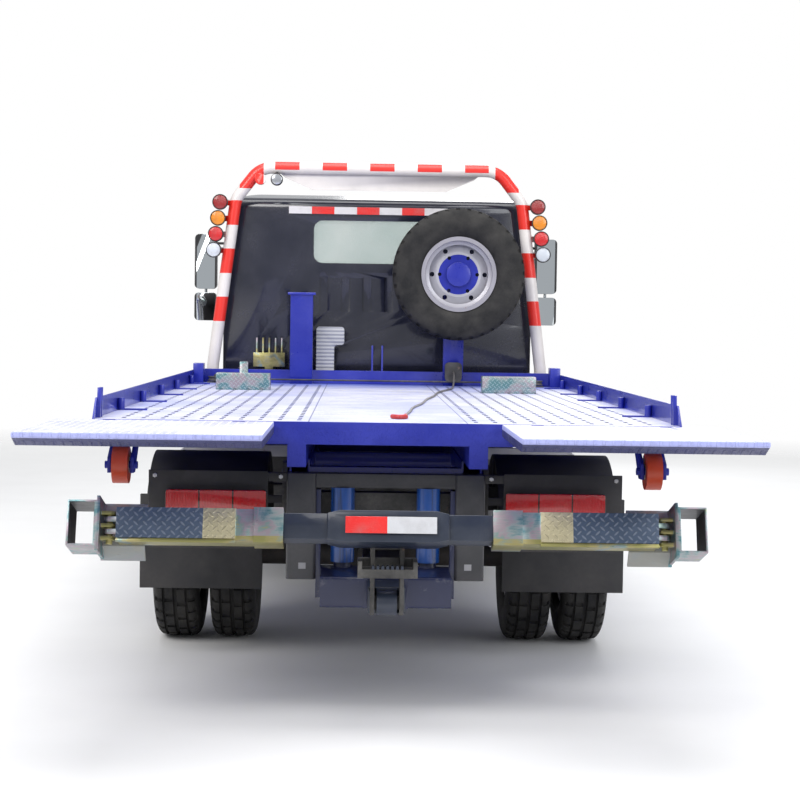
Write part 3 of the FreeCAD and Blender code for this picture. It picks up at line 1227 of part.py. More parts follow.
def build_ramps():
    for word, side in SIDES:
        inner = s.ramp_inner
        width = s.ramp_outer - inner
        near, far = (inner, inner + width) if side > 0 else (-inner - width, -inner)
        top = s.deck_top
        low = top - s.ramp_thick
        tip = bed_rear - s.ramp_length
        wedge = [
            (tip, top - s.ramp_tip), (tip, top), (ramp_pivot_y, top), (ramp_pivot_y, low),
            (tip + s.ramp_nose, low),
        ]
        slab = outline("YZ", wedge, near, far - near)
        edge = rod("X", s.ramp_thick / 2, near, far - near, ramp_pivot_y, ramp_pivot_z)
        pitch = (width - s.ramp_rib / 4) / s.ramp_ribs
        pockets = []
        for i in range(int(s.ramp_ribs.value)):
            x = near + s.ramp_rib / 4 + pitch * i
            pockets.append(block(x, x + pitch - s.ramp_rib / 4, tip + s.ramp_nose + s.ramp_rib,
                                 ramp_pivot_y - s.ramp_thick, low - s.overrun, top - s.ramp_plate))
        for x in lug_places(side):
            reach = s.ramp_thick / 2 + s.move_gap
            pockets.append(block(x - s.move_gap, x + s.lug_width + s.move_gap, ramp_pivot_y - reach,
                                 ramp_pivot_y + reach, low - s.overrun, top + s.overrun))
            bore = s.lug_width + 2 * s.pin_reach + 2 * s.fit_gap
            pockets.append(rod("X", s.ramp_pin + s.fit_gap, x - s.pin_reach - s.fit_gap, bore, ramp_pivot_y,
                               ramp_pivot_z))
        node(f"ramp_{word}", cut(fuse([slab, edge]), pockets))


def build_casters():
    for word, side in SIDES:
        start = s.caster_x * side - s.caster_width / 2
        node(f"caster_wheel_{word}", pipe("X", s.caster_radius, s.caster_bore + s.fit_gap, start,
                                          s.caster_width, caster_y, caster_z))


# Underlift: posts on the frame's end, the carriage and boom, and the leaned crossbar with its brackets
post_back = rail_rear - s.post_depth
lift_y = rail_rear - s.post_depth / 2
boom_z = (s.block_low + s.block_top) / 2
bar_y = post_back - s.bar_reach
fold_y = bar_y + s.fold_ahead
beam_low = s.post_top - s.beam_deep


def build_lift_frame():
    pieces = []
    for side in (1, -1):
        near, far = sorted((s.post_inner * side, (s.post_inner + s.post_width) * side), key=lambda v: v.value)
        post = block(near, far, post_back, rail_rear, s.post_low, s.post_top)
        pieces.append(rounded(post, s.lamp_round, along("Z")))
    pieces.append(block(-s.post_inner - s.lamp_round, s.post_inner + s.lamp_round, post_back + s.lamp_round,
                        rail_rear - s.lamp_round, beam_low, s.post_top))
    return node("lift_frame", fuse(pieces))


def build_lift_cylinders():
    barrels = []
    for side in (1, -1):
        barrels.append(pipe("Z", s.lift_barrel_radius, s.lift_rod_radius + s.fit_gap, s.lift_barrel_low,
                            beam_low - s.lift_barrel_low, s.lift_barrel_x * side, lift_y))
    return node("lift_cylinders", group(barrels))


def build_lift_carriage():
    back = post_back - s.block_reach
    block_body = block(-s.block_half, s.block_half, back, rail_rear, s.block_low, s.block_top)
    boom = block(-s.boom_half, s.boom_half, back, rail_rear + s.boom_reach, s.block_low, s.block_top)
    hollow_half = s.inner_half + s.fit_gap
    hollow_rise = s.inner_height / 2 + s.fit_gap
    hollow = block(-hollow_half, hollow_half, back - s.overrun, rail_rear + s.boom_reach + s.overrun,
                   boom_z - hollow_rise, boom_z + hollow_rise)
    pieces = [cut(fuse([rounded(block_body, s.lamp_round, along("X")), boom]), [hollow])]
    for side in (1, -1):
        outer = s.post_inner - s.fit_gap
        near, far = sorted(((outer - s.shoe_thick) * side, outer * side), key=lambda v: v.value)
        pieces.append(block(near, far, post_back + s.lamp_round, rail_rear - s.lamp_round, s.block_low,
                            beam_low - s.move_gap))
        foot_inner, foot_outer = sorted(((s.block_half - s.lamp_round) * side, outer * side),
                                        key=lambda v: v.value)
        pieces.append(block(foot_inner, foot_outer, post_back + s.lamp_round, rail_rear - s.lamp_round,
                            s.block_low, s.block_top))
        pieces.append(rod("Z", s.lift_rod_radius, s.block_top, beam_low - s.move_gap * 2 - s.block_top,
                          s.lift_barrel_x * side, lift_y))
    return node("lift_carriage", fuse(pieces))


def build_inner_boom():
    start = fold_y + s.fold_width / 2 + s.move_gap
    stop = rail_rear + s.boom_reach - s.boom_inset
    rise = s.inner_height / 2
    tube = block(-s.inner_half, s.inner_half, start, stop, boom_z - rise, boom_z + rise)
    wall = s.boom_wall
    hollow = block(wall - s.inner_half, s.inner_half - wall, start + s.overrun, stop + s.overrun,
                   boom_z - rise + wall, boom_z + rise - wall)
    eye_half = s.fold_half - s.fold_plate - s.move_gap
    neck = block(-eye_half, eye_half, fold_y, start + s.overrun, boom_z - s.fold_width / 2,
                 boom_z + s.fold_width / 2)
    eye = rod("X", s.fold_width / 2, -eye_half, 2 * eye_half, fold_y, boom_z)
    bore = rod("X", s.fold_pin + s.fit_gap, -eye_half - s.overrun, 2 * eye_half + 2 * s.overrun, fold_y, boom_z)
    return node("inner_boom", cut(fuse([cut(tube, [hollow]), neck, eye]), [bore]))


def leaned(item):
    """Put a piece drawn about the crossbar's middle into the bar's leaned place."""
    return place(lean(item, "X", -s.bar_lean), 0, bar_y, s.bar_rise)


def from_bar(depth, height):
    """The Y and Z of a point given behind and above the crossbar's middle in its leaned frame."""
    turn = s.bar_lean
    return (bar_y + depth * cosine(turn) + height * sine(turn),
            s.bar_rise - depth * sine(turn) + height * cosine(turn))


def build_fold_arm():
    width = s.fold_width / 2
    clear = s.hub_depth / 2 + s.move_gap
    low_y, low_z = from_bar(clear, -s.hub_height / 2)
    top_y, top_z = from_bar(clear, s.hub_height / 3)
    side_outline = [
        (fold_y - width, boom_z), (fold_y + width, boom_z), (fold_y + width, top_z), (top_y, top_z),
        (low_y, low_z), (fold_y - width, low_z - width),
    ]
    pieces = []
    for side in (1, -1):
        outer = s.fold_half * side
        inner = (s.fold_half - s.fold_plate) * side
        near, far = sorted((inner, outer), key=lambda v: v.value)
        pieces.append(outline("YZ", side_outline, near, far - near))
        pieces.append(rod("X", width, near, far - near, fold_y, boom_z))
    pieces.append(rod("X", s.fold_pin, -s.fold_half, 2 * s.fold_half, fold_y, boom_z))
    head = block(-s.fold_half, s.fold_half, clear, clear + s.fold_plate * 3 / 2, -s.hub_height / 2,
                 s.hub_height / 3)
    swivel = rod("Y", s.swivel_radius, -s.hub_depth / 2, s.hub_depth + s.move_gap + s.fold_plate, 0, 0)
    pieces.append(leaned(fuse([head, swivel])))
    step_low = low_z - s.step_drop
    step_back = bar_y - s.step_depth / 2
    half = s.step_half
    pieces.append(block(-half, half, step_back, step_back + s.step_depth, step_low, step_low + s.fold_plate * 2))
    for side in (1, -1):
        near, far = sorted((half * side, (half - s.fold_plate) * side), key=lambda v: v.value)
        pieces.append(block(near, far, step_back, fold_y, step_low, step_low + s.step_strap))
    pieces.append(block(-half, half, fold_y - s.fold_plate, fold_y, step_low, step_low + s.step_strap))
    return node("fold_arm", fuse(pieces))


def build_crossbar():
    half = s.bar_half
    depth = s.bar_depth / 2
    rise = s.bar_height / 2
    bar = block(-half, half, -depth, depth, -rise, rise)
    hub_depth = s.hub_depth / 2
    hub_rise = s.hub_height / 2
    flat = s.hub_half - s.hub_taper
    wide = [
        (-s.hub_half, -rise), (-flat, -hub_rise), (flat, -hub_rise), (s.hub_half, -rise),
        (s.hub_half, rise), (flat, hub_rise), (-flat, hub_rise), (-s.hub_half, rise),
    ]
    hub = outline("XZ", wide, -hub_depth, s.hub_depth)
    hollow = []
    for side in (1, -1):
        near, far = sorted(((s.hub_half + s.overrun) * side, (half + s.overrun) * side), key=lambda v: v.value)
        hollow.append(block(near, far, s.bar_wall - depth, depth - s.bar_wall, s.bar_wall - rise,
                            rise - s.bar_wall))
    bore = rod("Y", s.swivel_radius + s.fit_gap, -hub_depth - s.overrun, s.hub_depth + 2 * s.overrun, 0, 0)
    return node("crossbar", leaned(cut(fuse([bar, hub]), hollow + [bore])))


def build_arms():
    """The sliding outer sleeves of the crossbar, with collars, tread plates and hinge lugs."""
    for word, side in SIDES:
        def span(inner, outer):
            return (inner, outer) if side > 0 else (-outer, -inner)

        depth = s.bar_depth / 2 + s.fit_gap
        rise = s.bar_height / 2 + s.fit_gap
        wall = s.sleeve_wall
        collar = s.collar_wall
        start = s.collar_start
        tube = block(*span(start, s.sleeve_reach), -depth - wall, depth + wall, -rise - wall, rise + wall)
        band = block(*span(start, start + s.collar_length), -depth - collar, depth + collar, -rise - collar,
                     rise + collar)
        hollow = block(*span(start - s.overrun, s.sleeve_reach - wall), -depth, depth, -rise, rise)
        tread_start = s.sleeve_reach - s.tread_length
        tread = block(*span(tread_start, s.sleeve_reach), -depth - wall - s.tread_thick, -depth - wall,
                      -rise - wall / 2, rise + wall)
        lip = block(*span(tread_start, s.sleeve_reach), -depth - wall - s.tread_thick, -depth,
                    -rise - wall - s.tread_thick, -rise - wall)
        pieces = [tube, band, tread, lip]
        pin_x = s.bracket_pin_x * side
        for low in (-s.lug_pitch, s.lug_pitch - s.lug_thick):
            pieces.append(block(*span(s.sleeve_reach, s.bracket_pin_x), -s.lug_radius, s.lug_radius, low,
                                low + s.lug_thick))
            pieces.append(rod("Z", s.lug_radius, low, s.lug_thick, pin_x, 0))
        bore = rod("Z", s.bracket_pin + s.fit_gap, -rise - wall, 2 * (rise + wall), pin_x, 0)
        node(f"arm_{word}", leaned(cut(fuse(pieces), [hollow, bore])))


def build_brackets():
    """The swinging end brackets: hinge leaves, a side plate, an open square socket and a wheel cradle."""
    for word, side in SIDES:
        def span(inner, outer):
            return (inner, outer) if side > 0 else (-outer, -inner)

        plate_x = s.bracket_plate_x
        front = s.socket_front
        back = -s.socket_back
        pieces = []
        pin_x = s.bracket_pin_x * side
        leaf = s.lug_leaf
        outer = s.lug_pitch + s.lug_clear + leaf
        for low in (-outer, -leaf / 2, outer - leaf):
            pieces.append(block(*span(s.bracket_pin_x, plate_x), -s.lug_radius, s.lug_radius, low, low + leaf))
            pieces.append(rod("Z", s.lug_radius, low, leaf, pin_x, 0))
        pieces.append(rod("Z", s.bracket_pin, -outer - leaf, 2 * outer + leaf, pin_x, 0))
        tall = s.socket_height / 2
        pieces.append(block(*span(plate_x, plate_x + s.bracket_plate), back, front, -tall - s.socket_wall * 2,
                            tall + s.socket_wall * 2))
        tube_in = plate_x + s.bracket_plate
        tube = block(*span(tube_in, s.lug_reach), back, front, -tall, tall)
        hollow = block(*span(tube_in + s.socket_wall, s.lug_reach - s.socket_wall), back - s.overrun,
                       front + s.overrun, s.socket_wall - tall, tall - s.socket_wall)
        pieces.append(cut(tube, [hollow]))
        web = s.bar_depth / 2 + s.sleeve_wall + s.cradle_gap
        thick = s.cradle_thick
        rise = s.cradle_rise
        flare = s.cradle_flare
        trough = [
            (web, -rise), (web + flare, -rise - flare), (web + flare + thick, -rise - flare + thick),
            (web + thick, -rise + thick / 2), (web + thick, rise - thick / 2),
            (web + flare + thick, rise + flare - thick), (web + flare, rise + flare), (web, rise),
        ]
        near, far = span(plate_x - s.cradle_length, plate_x + s.bracket_plate)
        pieces.append(outline("YZ", trough, near, far - near))
        node(f"bracket_{word}", leaned(fuse(pieces)))


# Cab: one outer form, hollowed, with its doors and windows cut where the panels meet
def side_profile(inset):
    """The cab seen from its side, moved inwards by an inset."""
    nose = cab_nose - inset
    back = cab_rear + inset
    screen_top = cab_nose - s.screen_top_back
    return [
        (back, s.cab_rear_low + inset), (foot_back(inset), s.cab_rear_low + inset),
        (foot_back(inset), s.cab_low + inset), (nose, s.cab_low + inset), (nose, s.screen_foot),
        (screen_top, s.cab_roof - s.screen_drop - inset), (screen_top - s.brow_length, s.cab_roof - inset),
        (back, s.cab_roof_rear - inset),
    ]


def foot_back(inset):
    return front_axle_y + s.foot_ahead + inset


def front_profile(inset):
    half = s.cab_half - inset
    top = half - s.cab_roof_inset
    return [
        (-half, s.cab_low - s.overrun), (half, s.cab_low - s.overrun), (half, s.cab_shoulder),
        (top, s.cab_roof - inset), (-top, s.cab_roof - inset), (-half, s.cab_shoulder),
    ]


def cab_form(inset):
    inset = sized(inset)
    half = s.cab_half
    side = outline("YZ", side_profile(inset), -half, 2 * half)
    side = rounded(side, s.cab_edge, lambda a, b: along("X")(a, b) and a.z > s.cab_shoulder.value)
    corner_y = foot_back(inset).value
    corner_z = (s.cab_rear_low + inset).value
    side = rounded(side, s.foot_round,
                   lambda a, b: along("X")(a, b) and abs(a.y - corner_y) + abs(a.z - corner_z) < s.fit_gap.value)
    front = outline("XZ", front_profile(inset), cab_rear, cab_nose - cab_rear)
    front = rounded(front, s.cab_round, lambda a, b: along("Y")(a, b) and a.z > s.rear_window_top.value)
    return common(side, front)


def door_outline(grow):
    """The door's edge on the cab's side, made larger all round by a gap."""
    rear = cab_rear + s.door_rear
    front = cab_nose - s.door_front
    low = s.door_low
    top = s.door_top
    return [
        (rear - grow, s.door_kick - grow), (front - s.door_foot - grow, s.door_kick - grow),
        (front - s.door_foot - grow, low - grow), (front + grow, low - grow), (front + grow, s.window_low),
        (front - s.door_lean + grow, top + grow), (rear - grow, top + grow),
    ]


def door_window():
    rear = cab_rear + s.door_rear + s.window_frame
    front = cab_nose - s.door_front - s.window_frame
    return [
        (rear, s.window_low), (front, s.window_low), (front - s.door_lean, s.window_top), (rear, s.window_top),
    ]


def side_prism(points, side):
    """A prism through one side wall of the cab."""
    inner = s.cab_half - s.side_reach
    start = inner if side > 0 else -s.cab_half - s.overrun
    return outline("YZ", points, start, s.side_reach + s.overrun)


def screen_window(slack=0):
    foot = s.cab_half - s.screen_frame + slack
    head = foot - s.cab_roof_inset
    low = s.screen_foot + s.screen_frame / 3 - slack
    top = s.cab_roof - s.screen_drop - s.screen_frame / 2 + slack
    points = [(-foot, low), (foot, low), (head, top), (-head, top)]
    start = cab_nose - s.screen_top_back - s.screen_frame
    return outline("XZ", points, start, s.screen_top_back + s.screen_frame + s.overrun)


def rear_window(slack=0):
    half = s.rear_window_half + slack
    pane = block(-half, half, cab_rear - s.overrun, cab_rear + s.cab_wall + s.overrun, s.rear_window_low - slack,
                 s.rear_window_top + slack)
    return rounded(pane, s.window_round, along("Y"))


def build_cab_shell():
    form = cab_form(0)
    inner = s.tunnel_half + s.cab_wall
    cavity = cut(cab_form(s.cab_wall), [block(-inner, inner, cab_rear, cab_nose, s.cab_low,
                                              s.tunnel_top + s.cab_wall)])
    cutters = [cavity, screen_window(), rear_window()]
    cutters += [side_prism(door_outline(s.door_gap), side) for side in (1, -1)]
    cutters.append(block(-s.tunnel_half, s.tunnel_half, cab_rear - s.overrun, cab_nose - s.lip_thick,
                         s.cab_low - s.overrun * 2, s.tunnel_top))
    pitch = 2 * s.rear_window_half / s.rib_count
    for i in range(int(s.rib_count.value)):
        x = -s.rear_window_half + pitch * (i + 0.5)
        rib = block(x - s.rib_half, x + s.rib_half, cab_rear - s.overrun, cab_rear + s.rib_depth, s.rib_low,
                    s.rib_low + s.rib_rise)
        cutters.append(rounded(rib, s.rib_half / 2, along("Y")))
    bar_pitch = (s.grille_top - s.grille_low) / s.grille_bars
    for i in range(int(s.grille_bars.value)):
        z = s.grille_low + bar_pitch * i
        cutters.append(block(-s.mouth_half, s.mouth_half, cab_nose - s.rib_depth, cab_nose + s.overrun, z,
                             z + bar_pitch / 2))
    shell = cut(form, cutters)
    dash = common(cab_form(s.cab_wall - s.fit_gap), block(
        -s.cab_half, s.cab_half, cab_nose - s.dash_depth, cab_nose, s.screen_foot - s.dash_height, s.screen_foot))
    pieces = [shell, dash]
    for side in (1, -1):
        near, far = sorted(((s.cab_hinge_x - s.ear_thick) * side, (s.cab_hinge_x + s.ear_thick) * side),
                           key=lambda v: v.value)
        radius = s.cab_hinge_radius
        lug = block(near, far, cab_hinge_y - radius, cab_nose - s.lip_thick, s.cab_hinge_height,
                    s.tunnel_top + s.overrun)
        round_lug = rod("X", radius, near, far - near, cab_hinge_y, s.cab_hinge_height)
        bore = rod("X", s.cab_pin + s.fit_gap, near - s.overrun, far - near + 2 * s.overrun, cab_hinge_y,
                   s.cab_hinge_height)
        pieces.append(cut(fuse([lug, round_lug]), [bore]))
    pieces.append(place(lean(rod("Z", s.column_radius, 0, s.column_length, 0, 0), "X", s.wheel_tilt),
                        -s.driver_x, column_y, column_z))
    return node("cab_shell", fuse(pieces))


column_y = cab_nose - s.dash_depth + s.column_inset
column_z = s.screen_foot - s.dash_height / 2
wheel_y = column_y - s.column_length * sine(s.wheel_tilt)
wheel_z = column_z + s.column_length * cosine(s.wheel_tilt)


def build_cab_glass():
    """Windscreen and rear window, set in the middle of the wall."""
    skin = cut(cab_form(s.glass_inset), [cab_form(s.glass_inset + s.glass_thick)])
    screen = common(skin, screen_window(-s.fit_gap))
    back_skin = cut(cab_form(s.glass_inset), [cab_form(s.glass_inset + s.glass_thick)])
    back = common(back_skin, rear_window(-s.fit_gap))
    return node("cab_glass", group([screen, back]))


def build_doors():
    for word, side in SIDES:
        wall = cut(cab_form(0), [cab_form(s.cab_wall)])
        panel = common(wall, side_prism(door_outline(Size(0, "0")), side))
        door = cut(panel, [side_prism(door_window(), side)])
        near, far = sorted((s.cab_half * side, (s.cab_half + s.handle_depth) * side), key=lambda v: v.value)
        handle_y = cab_rear + s.door_rear + s.window_frame
        handle = block(near, far, handle_y, handle_y + s.handle_length, s.handle_low,
                       s.handle_low + s.handle_depth)
        hinge_x = sorted(((s.cab_half - s.glass_inset) * side, s.cab_half * side), key=lambda v: v.value)
        front = cab_nose - s.door_front
        hinges = []
        for z in (s.door_kick + s.cab_edge, s.window_low - s.cab_edge * 2):
            hinges.append(block(*hinge_x, front - s.glass_thick, front + s.door_gap - s.fit_gap, z, z + s.cab_edge))
            hinges.append(rod("Z", s.door_gap / 2 - s.fit_gap, z, s.cab_edge, s.cab_half * side,
                              front + s.door_gap / 2))
        node(f"door_{word}", fuse([door, handle] + hinges))
        skin = cut(cab_form(s.glass_inset), [cab_form(s.glass_inset + s.glass_thick)])
        gap = s.fit_gap
        corners = [(y, z) for y, z in door_window()]
        shifts = [(gap, gap), (-gap, gap), (-gap, -gap), (gap, -gap)]
        pane = [(y + a, z + b) for (y, z), (a, b) in zip(corners, shifts)]
        node(f"door_glass_{word}", common(skin, side_prism(pane, side)))


def build_seats():
    seats = []
    floor = s.cab_rear_low + s.cab_wall + s.fit_gap
    back = cab_rear + s.cab_wall + s.seat_gap
    for x in (-s.driver_x, s.driver_x - s.seat_width - s.seat_gap, s.driver_x):
        near, far = x - s.seat_width / 2, x + s.seat_width / 2
        cushion = block(near, far, back, back + s.seat_depth, floor, floor + s.seat_height)
        rest = block(near, far, back, back + s.seat_back_thick, floor, floor + s.seat_back_height)
        seats.append(rounded(fuse([cushion, rest]), s.seat_round, along("X")))
    return node("seats", group(seats))


def build_steering_wheel():
    ring = doc.addObject("Part::Torus", "Ring")
    bind(ring, "Radius1", s.wheel_ring)
    bind(ring, "Radius2", s.wheel_grip)
    hub = rod("Z", s.column_radius * 2, s.fit_gap, s.wheel_grip * 2, 0, 0)
    place(ring, 0, 0, s.fit_gap + s.wheel_grip)
    spoke = block(-s.wheel_ring, s.wheel_ring, -s.wheel_grip, s.wheel_grip, s.fit_gap + s.wheel_grip / 2,
                  s.fit_gap + s.wheel_grip * 3 / 2)
    wheel = fuse([ring, hub, spoke])
    lean(wheel, "X", s.wheel_tilt)
    return node("steering_wheel", place(wheel, -s.driver_x, wheel_y, wheel_z))


def build_mirrors():
    mirrors = []
    for side in (1, -1):
        def span(inner, outer):
            return (inner, outer) if side > 0 else (-outer, -inner)

        inner = s.mirror_outer - s.mirror_width
        y = cab_nose - s.mirror_back
        top = s.mirror_top
        large = block(*span(inner, s.mirror_outer), y, y + s.mirror_depth, top - s.mirror_height, top)
        small_top = top - s.mirror_height - s.mirror_gap
        small = block(*span(inner, s.mirror_outer), y, y + s.mirror_depth, small_top - s.mirror_small, small_top)
        pieces = [rounded(large, s.mirror_round, along("Y")), rounded(small, s.mirror_round, along("Y"))]
        bar_x = (s.mirror_outer - s.mirror_width / 2) * side
        pieces.append(rod("Z", s.lever_radius * 3 / 2, small_top - s.mirror_small, top - small_top + s.mirror_small,
                          bar_x, y + s.mirror_depth / 2))
        for z in (small_top - s.mirror_small / 2, top - s.mirror_round * 2):
            start, stop = span(cab_side_x(z - s.lever_radius * 3 / 2), s.mirror_outer - s.mirror_width / 2)
            pieces.append(rod("X", s.lever_radius * 3 / 2, start, stop - start, y + s.mirror_depth / 2, z))
        mirrors.append(fuse(pieces))
    return node("mirrors", group(mirrors))


def cab_side_x(z):
    """How far out the cab's side is at a height above its shoulder."""
    return s.cab_half - s.cab_roof_inset * (z - s.cab_shoulder) / (s.cab_roof - s.cab_shoulder)


def build_headlamps():
    lamps = []
    for side in (1, -1):
        near, far = sorted((s.headlamp_inner * side, (s.headlamp_inner + s.headlamp_width) * side),
                           key=lambda v: v.value)
        lamp = block(near, far, cab_nose, cab_nose + s.headlamp_depth, s.headlamp_low,
                     s.headlamp_low + s.headlamp_height)
        lamps.append(rounded(lamp, s.headlamp_depth, along("Y")))
    return node("headlamps", group(lamps))


# Winch rope: the slack length from the snatch block along the deck to its hook
ROPE_POINTS = [
    (455, 1470, 1152), (452, 1360, 1140), (446, 1245, 1112), (437, 1125, 1083), (425, 1000, 1075.6),
    (408, 860, 1075.6), (385, 722, 1075.6), (357, 585, 1075.6), (332, 445, 1075.6), (312, 303, 1075.6),
    (297, 160, 1075.6), (287, 15, 1075.6), (274, -131, 1075.6), (257, -277, 1075.6), (236, -422, 1075.6),
    (218, -566, 1075.6), (204, -711, 1075.6), (195, -857, 1075.6), (182, -1003, 1075.6),
    (164, -1149, 1075.6), (142, -1294, 1075.6), (125, -1438, 1075.6), (114, -1580, 1075.6),
    (108, -1722, 1075.6), (97, -1862, 1075.6), (82, -1996, 1075.6), (74, -2110, 1075.6),
    (73, -2205, 1075.6),
]
BEND_SHARE = 0.45


def bend_radii(points):
    """The largest arc that the two runs at each corner allow."""
    spots = [Vector(*point) for point in points]
    radii = []
    for before, corner, after in zip(spots, spots[1:], spots[2:]):
        half_turn = (corner - before).getAngle(after - corner) / 2
        run = min((corner - before).Length, (after - corner).Length)
        radii.append(BEND_SHARE * run / math.tan(half_turn))
    return radii


def build_winch_rope():
    radii = bend_radii(ROPE_POINTS)
    print("rope bend radii, mm:", [round(radius) for radius in radii])
    rope = tube_path(ROPE_POINTS, s.rope_radius, radii)
    return node("winch_rope", rope)


def build_tow_hook():
    """The flat hook on the rope's end, lying on the deck."""
    x, y = (Size(value, str(value)) for value in ROPE_POINTS[-1][:2])
    z = s.deck_top + s.hook_wire + s.fit_gap
    bend = s.hook_bend
    route = [
        (x, y, z), (x, y - s.hook_shank, z), (x - bend, y - s.hook_shank - bend, z),
        (x - bend * 2, y - s.hook_shank, z), (x - bend * 2, y - s.hook_shank + bend / 2, z),
    ]
    hook = tube_path(route, s.hook_wire, [bend / 2, bend / 2, bend / 2])
    collar = rod("Y", s.hook_wire, y - s.hook_wire * 2, s.hook_wire * 2, x, z)
    return node("tow_hook", fuse([hook, collar]))


def build_all():
    build_chassis_frame()
    build_front_axle()
    build_rear_axle()
    build_engine()
    build_side_boxes()
    build_front_bumper()
    build_side_guards()
    build_rear_mudguards()
    build_rear_lamps()
    build_light_gantry()
    build_intake_duct()
    build_valve_block()
    build_front_wheels()
    build_rear_wheels()
    build_tilt_frame()
    build_rams()
    build_deck()
    build_side_rails()
    build_headboard()
    build_spare()
    build_wheel_stops()
    build_winch()
    build_ramps()
    build_casters()
    build_lift_frame()
    build_lift_cylinders()
    build_lift_carriage()
    build_inner_boom()
    build_fold_arm()
    build_crossbar()
    build_arms()
    build_brackets()
    build_cab_shell()
    build_cab_glass()
    build_doors()
    build_seats()
    build_steering_wheel()
    build_mirrors()
    build_headlamps()
    build_winch_rope()
    build_tow_hook()


def check_and_write():
    """Stop on any failed object or shape before a file is written."""
    doc.recompute()
    failed = [f"{item.Label} ({item.Name}): {item.State}" for item in doc.Objects
              if "Invalid" in item.State or "Error" in item.State]
    failed += [f"{name} has no valid solid" for name, item in nodes.items()
               if item.Shape.isNull() or not item.Shape.isValid() or not item.Shape.Solids]
    if failed:
        raise SystemExit("\n".join(failed))
    os.makedirs("parts", exist_ok=True)
    for name, item in nodes.items():
        item.Shape.exportStep(f"parts/{name}.step")


build_all()
check_and_write()
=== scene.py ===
import json
import math

import bpy
from mathutils import Matrix, Vector


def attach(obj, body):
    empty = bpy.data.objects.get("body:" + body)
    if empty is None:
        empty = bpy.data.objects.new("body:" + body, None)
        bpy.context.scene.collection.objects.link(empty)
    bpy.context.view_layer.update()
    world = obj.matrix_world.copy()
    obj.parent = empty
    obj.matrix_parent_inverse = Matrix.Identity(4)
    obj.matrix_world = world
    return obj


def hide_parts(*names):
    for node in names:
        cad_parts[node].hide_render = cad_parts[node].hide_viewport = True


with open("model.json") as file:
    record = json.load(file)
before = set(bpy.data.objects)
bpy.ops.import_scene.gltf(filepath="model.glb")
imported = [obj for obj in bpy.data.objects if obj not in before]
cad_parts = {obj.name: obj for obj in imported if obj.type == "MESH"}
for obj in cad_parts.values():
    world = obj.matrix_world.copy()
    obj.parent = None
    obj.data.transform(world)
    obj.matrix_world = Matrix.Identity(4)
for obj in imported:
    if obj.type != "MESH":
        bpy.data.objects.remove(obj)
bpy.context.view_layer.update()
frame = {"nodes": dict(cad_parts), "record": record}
node_body = {node: body for body, nodes in frame["record"]["behaviour"]["bodies"].items() for node in nodes}

FRONT_AXLE_Y, REAR_AXLE_Y, AXLE_Z = 2.3625, -0.9975, 0.390
DECK_TOP = 1.070
BAR_Y, BAR_Z, BAR_LEAN = -2.8495, 0.705, math.radians(18)
SPARE = Vector((0.471, 1.418, 1.733))
CASTER = (-2.6095, 0.905)
HOOP_LAMPS = ((0.959, 2.154), (0.9715, 2.058), (0.9835, 1.962), (0.9955, 1.866))
SIDES = (("left", -1), ("right", 1))


# Camera at the photograph's place, turned a little right and down
def place_camera():
    lens = bpy.data.cameras.new("Camera")
    lens.sensor_width = 36
    lens.lens = 81.0
    lens.clip_end = 200
    camera = bpy.data.objects.new("Camera", lens)
    bpy.context.scene.collection.objects.link(camera)
    yaw, pitch, roll = math.radians(1.365), math.radians(2.457), math.radians(0.868)
    ahead = Vector((math.sin(yaw), math.cos(yaw), 0))
    right = Vector((math.cos(yaw), -math.sin(yaw), 0))
    up = Vector((0, 0, 1))
    look = ahead * math.cos(pitch) - up * math.sin(pitch)
    top = up * math.cos(pitch) + ahead * math.sin(pitch)
    across = right * math.cos(roll) + top * math.sin(roll)
    rise = top * math.cos(roll) - right * math.sin(roll)
    camera.matrix_world = Matrix((
        (across.x, rise.x, -look.x, -0.117),
        (across.y, rise.y, -look.y, -9.247),
        (across.z, rise.z, -look.z, 1.443),
        (0, 0, 0, 1),
    ))
    bpy.context.scene.camera = camera


# Node helpers
def put(tree, kind, inputs=None, **settings):
    node = tree.nodes.new("ShaderNode" + kind)
    for key, value in settings.items():
        setattr(node, key, value)
    for key, value in (inputs or {}).items():
        socket = node.inputs[key]
        if isinstance(value, bpy.types.NodeSocket):
            tree.links.new(value, socket)
        else:
            socket.default_value = value
    return node


def sum_of(tree, operation, first, second=0.0, third=0.0):
    return put(tree, "Math", {0: first, 1: second, 2: third}, operation=operation).outputs[0]


def over(tree, value, limit):
    return sum_of(tree, "GREATER_THAN", value, limit)


def under(tree, value, limit):
    return sum_of(tree, "LESS_THAN", value, limit)


def times(tree, first, second):
    return sum_of(tree, "MULTIPLY", first, second)


def plus(tree, first, second):
    return sum_of(tree, "ADD", first, second)


def fused(tree, first, second, third):
    """First times second, plus third."""
    return sum_of(tree, "MULTIPLY_ADD", first, second, third)


def sine(tree, value, rate=1.0):
    """A sine along a value; nothing is multiplied where the rate is left at 1."""
    turned = value if rate == 1.0 else times(tree, value, rate)
    return put(tree, "Math", {0: turned}, operation="SINE").outputs[0]


def between(tree, value, low, high):
    """1 where a value lies between two limits."""
    above = over(tree, value, low)
    below = under(tree, value, high)
    return times(tree, above, below)


def either(tree, *masks):
    result = masks[0]
    for mask in masks[1:]:
        result = sum_of(tree, "MAXIMUM", result, mask)
    return result


def both(tree, *masks):
    result = masks[0]
    for mask in masks[1:]:
        result = times(tree, result, mask)
    return result


def blend_colour(tree, mask, first, second):
    mix = put(tree, "Mix", data_type="RGBA", blend_type="MIX")
    for socket, value in ((mix.inputs[0], mask), (mix.inputs[6], first), (mix.inputs[7], second)):
        if isinstance(value, bpy.types.NodeSocket):
            tree.links.new(value, socket)
        elif isinstance(value, tuple):
            socket.default_value = value if len(value) == 4 else (*value, 1.0)
        else:
            socket.default_value = value
    return mix.outputs[2]


